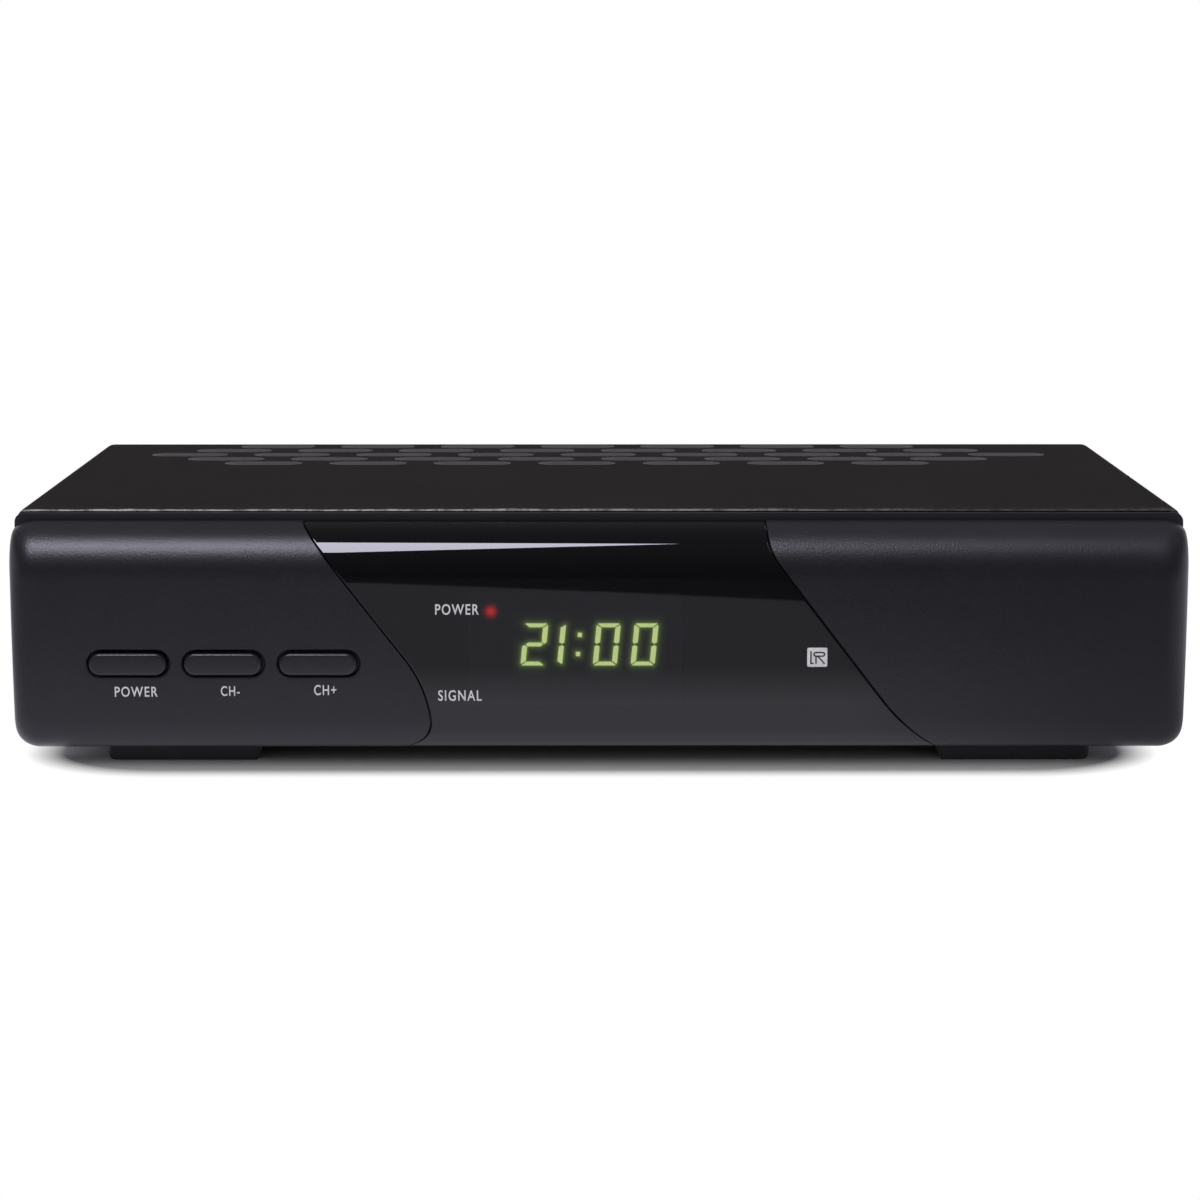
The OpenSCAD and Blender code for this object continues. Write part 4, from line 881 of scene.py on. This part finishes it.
def fascia_shell():
    left = fascia_panel("left_panel", -1, LEFT, 60)
    cut_by(left, [hole_cutter(x) for x in BUTTON_X])
    right = fascia_panel("right_panel", 1, RIGHT, 50)
    for panel in (left, right):
        shade(panel, 32)
    neck = slab("neck", rect_points(-NECK_HALF, NECK_LOW, NECK_HALF, NECK_TOP, NECK_CORNER),
                NECK_FRONT + 0.6, NECK_BACK)
    cut_by(neck, [neck_room(NECK_LOW + NECK_WALL)])
    collar = slab("collar", rect_points(-COLLAR_HALF, COLLAR_LOW, COLLAR_HALF, NECK_TOP, NECK_CORNER, 10),
                  NECK_FRONT, SHELL_BACK + 0.1)
    cut_by(collar, [neck_room(COLLAR_ROOM_LOW)])
    # Painted light: the neck and the collar take the lighter copy of the plastic
    for part in (neck, collar):
        soften(part, 0.2)
        tinted(part, COLLAR_PAINTED_LIGHT)
    seat = window_seat()
    for part in (left, right, seat):
        tinted(part, FASCIA)
    return join("fascia_shell", [left, right, neck, collar, seat])


piece(fascia_shell(), None, "enclosure", "fascia_plastic", "front_fascia")


def window_shell():
    columns = 64
    rows = [p for p in SECTION if p[0] <= WINDOW_BACK]
    rows = [(WINDOW_BACK, Z_TOP, 0.0, 1.0)] + rows + [(WINDOW_BACK, Z_BOTTOM, 0.0, -1.0)]
    verts = []
    for y, z, _, _ in rows:
        x0 = edge_x(LEFT, z) + GROOVE / 2
        x1 = edge_x(RIGHT, z) - GROOVE / 2
        width = x1 - x0 - 2 * WINDOW_RIM
        inner = [x0 + WINDOW_RIM + width * i / columns for i in range(columns + 1)]
        verts += [place(x, y, z) for x in [x0] + inner + [x1]]
    obj = mesh_object("window_pane", verts, grid_faces(len(rows), columns + 3))
    outward(obj)
    thicken(obj, WINDOW_T)
    soften(obj, WINDOW_EDGE, 50)
    return obj


piece(window_shell(), WINDOW, "enclosure", "smoked_window", "display_window")

# Buttons: a rounded cap, its stem and the flange that keeps it in its hole
KEYS = (("power", "power_key"), ("channel_down", "channel_down_key"), ("channel_up", "channel_up_key"))
for button_x, (label, body) in zip(BUTTON_X, KEYS):
    path = [(FLANGE_W, BUTTON_BACK), (FLANGE_W, FLANGE_FRONT), (0, FLANGE_FRONT),
            (0, -BUTTON_PROUD + BUTTON_ROUND)]
    path += [(-BUTTON_ROUND * (1 - math.cos(a)), -BUTTON_PROUD + BUTTON_ROUND * (1 - math.sin(a)))
             for a in QUARTER]
    rings = button_rings(button_x + BUTTON_OFF[0], BUTTON_Z + BUTTON_OFF[1], 0, path)
    piece(loft(label + "_cap", rings, 40), BUTTON, body, "button_plastic", label + "_button")


# The clock's lit bars, and the display's face with the glow round them

def bar_outlines():
    """Seven bars of a digit about its middle: top, two right, bottom, two left, middle."""
    w, h = DIGIT_HALF
    v, b, g = UPRIGHT_W, LEVEL_H, BAR_GAP
    end, shoulder, drop, slope, taper = 0.32, 0.17, 0.13, 0.34, 0.42
    top = [(-w + end, h), (w - end, h), (w - shoulder - g, h - drop), (w - v - g, h - b), (g + v - w, h - b),
           (g + shoulder - w, h - drop)]
    right = [(w - drop, h - shoulder - g), (w, h - slope - g), (w, taper), (w - 0.4 * v, g), (w - v, taper),
             (w - v, h - b - g)]
    tip, inner = w - v / 2 - g, w - v - g
    middle = [(-tip, 0), (-inner, b / 2), (inner, b / 2), (tip, 0), (inner, -b / 2), (-inner, -b / 2)]

    def turned(outline, across, up):
        return [(across * x, up * z) for x, z in outline]

    return [top, right, turned(right, 1, -1), turned(top, 1, -1), turned(right, -1, -1),
            turned(right, -1, 1), middle]


def display_bars():
    lo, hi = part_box("display_segments")
    y0, y1 = lo.y / MM - FACE_Y, hi.y / MM - FACE_Y
    lean = math.tan(math.radians(DIGIT_SLANT))
    outlines = bar_outlines()
    shapes = []
    for at, lit_bars in zip(DIGIT_AT, DIGIT_BARS):
        shapes += [[(at + x + z * lean, z) for x, z in outlines[i]] for i in lit_bars]
    r = DOT_W / 2
    for x, z in COLON_AT:
        x += z * lean
        shapes.append(rect_points(x - r, z - r, x + r, z + r, DOT_R, 3))
    parts = [slab("bar", [(DISPLAY_X + x, DISPLAY_Z + z) for x, z in shape], y0, y1) for shape in shapes]
    return join("display_bars", parts)


bars = piece(display_bars(), SEGMENT, "enclosure", "lit_segments", "display_segments")


def display_film():
    """A thin sheet over the display, whose points hold the glow by their distance from the lit bars."""
    segments = bars.data
    tree = BVHTree.FromPolygons([v.co for v in segments.vertices],
                                [tuple(p.vertices) for p in segments.polygons])
    columns, rows = 200, 92
    (w, h), y = DISPLAY_HALF, DISPLAY_Y - 0.06
    verts, glow = [], []
    for j in range(rows + 1):
        for i in range(columns + 1):
            p = place(DISPLAY_X + w * (2 * i / columns - 1), y, DISPLAY_Z + h * (1 - 2 * j / rows))
            d = tree.find_nearest(p)[3] / MM
            verts.append(p)
            near = GLOW_NEAR * math.exp(-d / GLOW_NEAR_REACH)
            glow.append(near + GLOW_FAR * math.exp(-d / GLOW_FAR_REACH))
    mesh = bpy.data.meshes.new("display_film")
    mesh.from_pydata([tuple(v) for v in verts], [], grid_faces(rows + 1, columns + 1))
    layer = mesh.color_attributes.new("glow", "FLOAT_COLOR", "POINT")
    for i, g in enumerate(glow):
        layer.data[i].color = scaled(GLOW_COLOUR, g)
    obj = linked("display_film", mesh)
    outward(obj)
    thicken(obj, 0.05)
    return obj


piece(display_film(), FILM, "enclosure", "dark_plastic")
piece(lathe_y("lamp_film", LAMP_X, POWER_LAMP_Z, [(LAMP_FILM_R, y) for y in LAMP_FILM_Y]), LAMP_FILM,
      "enclosure", "dark_plastic")


# Printed marks, as thin raised ink that follows the front surface

def printed(name, obj, material=INK):
    piece(obj, material, "enclosure", "pale_plastic")
    obj.name = name


def lettering(name, words, x0, z0, x1, z1):
    curve = bpy.data.curves.new(name, "FONT")
    curve.body = words
    curve.size = 1.0
    curve.extrude = 0.5
    curve.offset = 0.012
    curve.space_character = 1.18
    curve.resolution_u = 6
    source = linked(name, curve)
    bpy.context.view_layer.update()
    graph = bpy.context.evaluated_depsgraph_get()
    mesh = bpy.data.meshes.new_from_object(source.evaluated_get(graph))
    bpy.data.objects.remove(source)
    bpy.data.curves.remove(curve)
    us = [v.co.x for v in mesh.vertices]
    vs = [v.co.y for v in mesh.vertices]
    u0, u1, v0, v1 = min(us), max(us), min(vs), max(vs)
    for vertex, u, v in zip(mesh.vertices, us, vs):
        x = x0 + (x1 - x0) * (u - u0) / (u1 - u0)
        z = z0 + (z1 - z0) * (v - v0) / (v1 - v0)
        vertex.co = place(x, face_y(z) + (-INK_T if vertex.co.z > 0 else INK_T), z)
    obj = linked(name, mesh)
    weld(mesh, 1e-8)
    printed(name, obj)


for label in LABELS:
    lettering(*label)


def stroke(name, points, width, y0, y1):
    """A bent stroke of even width through points in X and Z."""
    left, right = [], []
    for i, p in enumerate(points):
        before = points[i] - points[i - 1] if i else points[1] - points[0]
        after = points[i + 1] - points[i] if i + 1 < len(points) else before
        run = (before.normalized() + after.normalized()).normalized()
        side = Vector((-run.y, run.x)) * width / 2 / max(run.dot(after.normalized()), 0.5)
        left.append(p + side)
        right.append(p - side)
    return slab(name, [tuple(p) for p in left + right[::-1]], y0, y1)


def receiver_mark():
    """A pale plate with a dark sign for infrared: a stroke with a foot, and a letter with a flat bowl."""
    y = face_y(EYE_Z)
    printed("receiver_mark", slab("plate", rect_points(*EYE_PLATE, 0.3), y - INK_T, y + INK_T))
    mid = Vector((EYE_X, EYE_Z))
    bowl = [Vector((-0.35, 0.6)) + 0.35 * ray(a) for a in (270, 225, 180, 135, 90)]
    bowl += [Vector((0.95, 0.6)) + 0.35 * ray(a) for a in (90, 45, 0, -45, -90)] + [Vector((-0.3, 0.25))]
    foot = [Vector((-1.25, 1.2)), Vector((-1.25, -1.1)), Vector((-0.75, -1.1))]
    stem = [Vector((-0.3, 0.25)), Vector((-0.3, -1.2))]
    leg = [Vector((0.05, 0.2)), Vector((1.3, -1.2))]
    parts = [stroke("line", [mid + p for p in line], 0.26, y - 0.06, y + 0.02)
             for line in (foot, bowl, stem, leg)]
    printed("receiver_sign", join("receiver_sign", parts), DARK_INK)


receiver_mark()


# Rear sockets and side screws

def span(name):
    """A solid's low and high corners in millimetres from the fascia's face, and its middle in X and Z."""
    lo, hi = [(v.x / MM, v.y / MM - FACE_Y, v.z / MM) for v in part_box(name)]
    return lo, hi, (lo[0] + hi[0]) / 2, (lo[2] + hi[2]) / 2


def thread_rings(x, z, crest, root, y0, y1, pitch):
    """Rings of a screw thread that runs out at both ends."""
    steps, per_turn = 48, 8
    rows = int((y1 - y0) / pitch * per_turn)
    rings = []
    for j in range(rows + 1):
        y = y0 + (y1 - y0) * j / rows
        whole = smooth_step(0, 1.2, y - y0) * smooth_step(0, 1.0, y1 - y)
        ring = []
        for i in range(steps):
            turn = (y - y0) / pitch - i / steps
            rise = 1 - abs(2 * (turn % 1.0) - 1)
            r = root + (crest - root) * (1 - whole + whole * smooth_step(0.2, 0.8, rise))
            a = 2 * math.pi * i / steps
            ring.append(place(x + r * math.cos(a), y, z + r * math.sin(a)))
        rings.append(ring)
    return rings


def aerial_jack(name):
    """A threaded shell with a chamfered mouth round a pale insulator and its contact."""
    lo, hi, x, z = span(name)
    r, wall, end = (hi[0] - lo[0]) / 2, lo[1] + 1.6, hi[1]
    rings = [round_ring(x, z, r - 0.4, y) for y in (lo[1], wall)]
    rings += thread_rings(x, z, r, r - 0.45, wall, end - 0.35, 0.79)
    for inner, y in ((r - 0.4, end), (3.55, end), (3.3, end - 0.25), (3.3, end - 1.1)):
        rings.append(round_ring(x, z, inner, y))
    core = [(3.28, end - 1.2), (3.28, end - 0.75), (3.0, end - 0.55), (1.1, end - 0.55), (0.8, end - 0.8),
            (0.8, end - 1.7)]
    pin = [(0.78, end - 1.75), (0.78, end - 1.45), (0.4, end - 1.4)]
    parts = [tinted(loft("shell", rings, 28), NICKEL), tinted(lathe_y("core", x, z, core), PALE),
             tinted(lathe_y("pin", x, z, pin), BRASS)]
    piece(join(name + "_detail", parts), None, "enclosure", "nickel", name)


aerial_jack("aerial_input_jack")
aerial_jack("aerial_output_jack")


def audio_shell():
    """The plated shell of the coaxial jack, which stands past its coloured core."""
    _, hi, x, z = span("digital_audio_jack")
    r, end = 4.15, hi[1]
    path = [(r - 0.3, end - 6.0), (r + 0.1, end - 6.0), (r + 0.1, end + 0.35), (r - 0.1, end + 0.6),
            (r - 0.5, end + 0.6), (r - 0.65, end + 0.4), (r - 0.65, end - 0.2), (r - 0.3, end - 0.2)]
    rings = [round_ring(x, z, radius, y) for radius, y in path]
    piece(loft("audio_jack_shell", rings, closed=True), NICKEL, "enclosure", "nickel")


audio_shell()


def scart_details():
    """Contacts in the slots, and the screen that stands in the groove."""
    lo, hi, x, z = span("scart_socket")
    face = hi[1]
    pitch, row, deep = 3.8, 1.9, face - 7.9

    def outline(d):
        w, h = (hi[0] - lo[0]) / 2 - d, (hi[2] - lo[2]) / 2 - d
        return [(x - w, z - h), (x + w - 0.6 * h, z - h), (x + w, z + h), (x - w, z + h)]

    blades = []
    for i in range(10):
        for up in (-row, row):
            at = x + (i - 4.5) * pitch - up / 2
            blades.append(box_part("blade", (at - 0.25, deep, z + up - 0.8),
                                   (at + 0.25, face - 0.9, z + up + 0.8), 0.08))
    piece(join("scart_contacts", blades), NICKEL, "enclosure", "nickel")
    rings = [[place(u, y, v) for u, v in outline(d)]
             for d, y in ((3.0, deep), (3.0, face - 0.5), (3.45, face - 0.5), (3.45, deep))]
    screen = loft("scart_screen", rings, closed=True)
    soften(screen, 0.1)
    piece(screen, NICKEL, "enclosure", "nickel")


scart_details()


def hdmi_details():
    """The dark tongue with its contacts, and the dark plug behind it."""
    lo, hi, x, _ = span("hdmi_socket")
    face, high, wall = hi[1], hi[2] - lo[2], 0.65
    half, back = (hi[0] - lo[0]) / 2, lo[1] + 2
    low, top = lo[2] + 0.52 * high - 0.05, lo[2] + 0.72 * high + 0.05
    tongue = box_part("tongue", (x - half + 2.35, back, low), (x + half - 2.35, face - 1.15, top), 0.12)
    side, bevel = half - wall, 0.35 * high
    floor_z, side_z, roof_z = lo[2] + wall, lo[2] + bevel + wall, hi[2] - wall
    inside = [(x - side + bevel, floor_z), (x + side - bevel, floor_z), (x + side, side_z),
              (x + side, roof_z), (x - side, roof_z), (x - side, side_z)]
    plug = slab("plug", inside, back - 0.05, back + 0.2)
    piece(join("hdmi_tongue", [tongue, plug]), DARK, "enclosure", "dark_plastic")
    strips = [box_part("strip", (x + i - 0.18, back, low - 0.04), (x + i + 0.18, face - 1.6, low + 0.1))
              for i in range(-4, 5)]
    piece(join("hdmi_contacts", strips), BRASS, "enclosure", "standoff_brass")


hdmi_details()


def mains_pins():
    """Plated pins with rounded tips."""
    _, hi, x, z = span("mains_inlet")
    foot, tip = hi[1] - 12, hi[1] - 1.85
    path = [(1.27, foot), (1.27, tip - 0.75), (1.12, tip - 0.3), (0.75, tip)]
    pins = [lathe_y("pin", x + side * 4.3, z, path) for side in (-1, 1)]
    piece(join("mains_pins", pins), NICKEL, "enclosure", "nickel")


mains_pins()


def screw_head(side, y, z, seat):
    """A domed head with a cross recess on its shank, along X."""
    path = [(1.25, -6.0), (1.25, 0.0), (2.6, 0.0), (2.6, 0.35), (2.45, 0.8), (2.1, 1.2), (1.5, 1.48),
            (0.7, 1.58)]
    steps = 40
    turns = [2 * math.pi * i / steps for i in range(steps)]
    rings = [[place(side * (seat + out), y + r * math.cos(a), z + r * math.sin(a)) for a in turns]
             for r, out in path]
    head = loft("head", rings, 40)
    low, high = sorted((side * (seat + 0.6), side * (seat + 2)))
    cut_by(head, [box_part("cross", (low, y - a, z - b), (high, y + a, z + b))
                  for a, b in ((1.55, 0.34), (0.34, 1.55))])
    shade(head, 35)
    return head


def cover_screw_heads():
    lo, hi, _, z = span("cover_screws")
    r = (hi[2] - lo[2]) / 2
    heads = [screw_head(side, y, z, hi[0] - 1.6) for side in (-1, 1) for y in (lo[1] + r, hi[1] - r)]
    piece(join("cover_screw_heads", heads), SCREW, "enclosure", "screw_steel", "cover_screws")


cover_screw_heads()


# Stage, in metres

def floor():
    size = 6.0
    corner = 0.02
    drawn_in = 0.0105
    aside = 0.0015
    mesh = bpy.data.meshes.new("floor")
    mesh.from_pydata([(-size, -size, 0), (size, -size, 0), (size, size, 0), (-size, size, 0)], [],
                     [(0, 1, 2, 3)])
    obj = linked("floor", mesh)
    material, tree, shader = new_material("floor_white")
    tree.nodes.remove(shader)
    coords = object_coords(tree)
    at = axes(tree, coords)
    # Distance from the part's footprint, drawn in at its sides, more on the right, with round corners
    folded = vector_node(tree, "ABSOLUTE", vector_node(tree, "ADD", coords, (aside, 0, 0)))
    core = (cad_box[1].x - drawn_in - corner, cad_box[1].y - corner, 0)
    outside = vector_node(tree, "MAXIMUM", vector_node(tree, "SUBTRACT", folded, core), (0, 0, 0))
    distance = math_node(tree, "SUBTRACT", vector_node(tree, "LENGTH", outside), corner)
    # The sheet is white by the part, with a deep painted shadow under it
    sheet = blend_colour(tree, ranged(tree, distance, 0.04, 0.12, 0.0, 1.0), (0.86, 0.86, 0.87, 1),
                         (0.6, 0.6, 0.61, 1))
    diffuse = node(tree, "ShaderNodeBsdfDiffuse")
    tree.links.new(blend_colour(tree, ranged(tree, distance, -corner, -0.009, 1.0, 0.0), sheet,
                                (0.36, 0.36, 0.36, 1)), diffuse.inputs["Color"])
    # Farther off the camera sees it white. A glossy surface sees it white behind the part and on its
    # right, and grey before it, as far as a slanting line
    path = node(tree, "ShaderNodeLightPath").outputs
    seen = math_node(tree, "ADD", path["Is Camera Ray"], path["Is Transmission Ray"], clamp=True)
    slant = math_node(tree, "MULTIPLY_ADD", at["X"], 1.6, -0.505)
    lit_part = ranged(tree, math_node(tree, "SUBTRACT", at["Y"], slant), -0.01, 0.01, 0.18, 1.0)
    before = product(tree, lit_part, ranged(tree, distance, 0.045, 0.09, 0.95, 0.47),
                     ranged(tree, at["X"], 0.05, 0.1, 1.0, 0.5))
    on_right = product(tree, ranged(tree, at["X"], 0.14, 0.2, 0.0, 1.0),
                       ranged(tree, at["Y"], -0.4, -0.25, 0.0, 1.0))
    behind = ranged(tree, at["Y"], 0.0, 0.1, 0.0, 1.0)
    grey = math_node(tree, "MAXIMUM", math_node(tree, "MAXIMUM", before, on_right), behind)
    white = node(tree, "ShaderNodeEmission")
    tree.links.new(math_node(tree, "MAXIMUM", seen, product(tree, path["Is Glossy Ray"], grey)),
                   white.inputs["Strength"])
    tree.links.new(blend_colour(tree, path["Is Glossy Ray"], (1, 1, 1, 1), (0.95, 0.95, 1.06, 1)),
                   white.inputs["Color"])
    far_seen = product(tree, seen, ranged(tree, distance, 0.0, 0.0075, 0.0, 1.0))
    front = cad_box[0].y
    far = math_node(tree, "MAXIMUM", ranged(tree, distance, 0.0, 0.004, 0.0, 1.0),
                    ranged(tree, at["Y"], front + 0.001, front + 0.0105, 1.0, 0.0))
    far_shiny = product(tree, path["Is Glossy Ray"], far)
    shown = mix_shader(tree, math_node(tree, "ADD", far_seen, far_shiny, clamp=True), diffuse.outputs[0],
                       white.outputs[0])
    tree.links.new(shown, tree.nodes["Material Output"].inputs["Surface"])
    mesh.materials.append(material)


floor()


def studio_world():
    world = bpy.data.worlds.new("studio")
    bpy.context.scene.world = world
    world.use_nodes = True
    tree = world.node_tree
    tree.nodes.clear()
    fill, white, room = [node(tree, "ShaderNodeBackground") for _ in range(3)]
    for made, strength in ((fill, 0.5), (white, 1.0)):
        made.inputs["Color"].default_value = (1, 1, 1, 1)
        made.inputs["Strength"].default_value = strength
    # The backdrop behind the part is white up to a height; the room before and above it is dark
    at = axes(tree, node(tree, "ShaderNodeTexCoord").outputs["Generated"])
    behind = ranged(tree, at["Y"], -0.6, 0.0, 0.0, 1.0)
    low = ranged(tree, at["Z"], 0.25, 0.5, 1.0, 0.0)
    dim = ranged(tree, at["Z"], 0.2, 0.9, 0.06, 0.14)
    tree.links.new(math_node(tree, "MAXIMUM", dim, product(tree, behind, low)), room.inputs["Strength"])
    path = node(tree, "ShaderNodeLightPath").outputs
    shiny = math_node(tree, "ADD", path["Is Glossy Ray"], path["Is Transmission Ray"], clamp=True)
    light = mix_shader(tree, shiny, fill.outputs[0], room.outputs[0])
    out = node(tree, "ShaderNodeOutputWorld")
    tree.links.new(mix_shader(tree, path["Is Camera Ray"], light, white.outputs[0]), out.inputs["Surface"])


studio_world()


def softbox(name, at, size, radiance, turn=0.0, shiny=True, soft=True, colour=(1, 1, 1)):
    """A lamp that looks down, turned about the upright, with the rays that may see it."""
    light = bpy.data.lights.new(name, "AREA")
    light.color = colour
    light.shape = "RECTANGLE"
    light.size, light.size_y = size
    light.energy = radiance * math.pi * size[0] * size[1]
    obj = linked(name, light)
    obj.location = at
    obj.rotation_euler = (0, 0, math.radians(turn))
    obj.visible_glossy = shiny
    obj.visible_diffuse = soft


# The boxes that the gloss shows, and the light behind them that the shadow falls away from
BOX_COLOUR = (0.97, 0.95, 1.13)
softbox("key_box", (-0.256, -0.44, 1.0), (0.45, 0.473), 12.6, -21.8, True, False, BOX_COLOUR)
softbox("side_box", (0.17, -0.44, 1.0), (0.13, 0.473), 1.9, 0.0, True, False, BOX_COLOUR)
softbox("top_box", (0.1, 0.38, 1.2), (2.0, 0.7), 3.3, 0.0, False)

camera = linked("camera", bpy.data.cameras.new("camera"))
bpy.context.scene.camera = camera
camera.location = place(*CAMERA_AT)
camera.rotation_euler = (math.radians(90 - CAMERA_DOWN), 0, math.radians(CAMERA_ASIDE))
camera.data.sensor_width = CAMERA_SENSOR
camera.data.lens = CAMERA_LENS
camera.data.clip_start = 0.01

bpy.context.scene.view_settings.view_transform = "Standard"
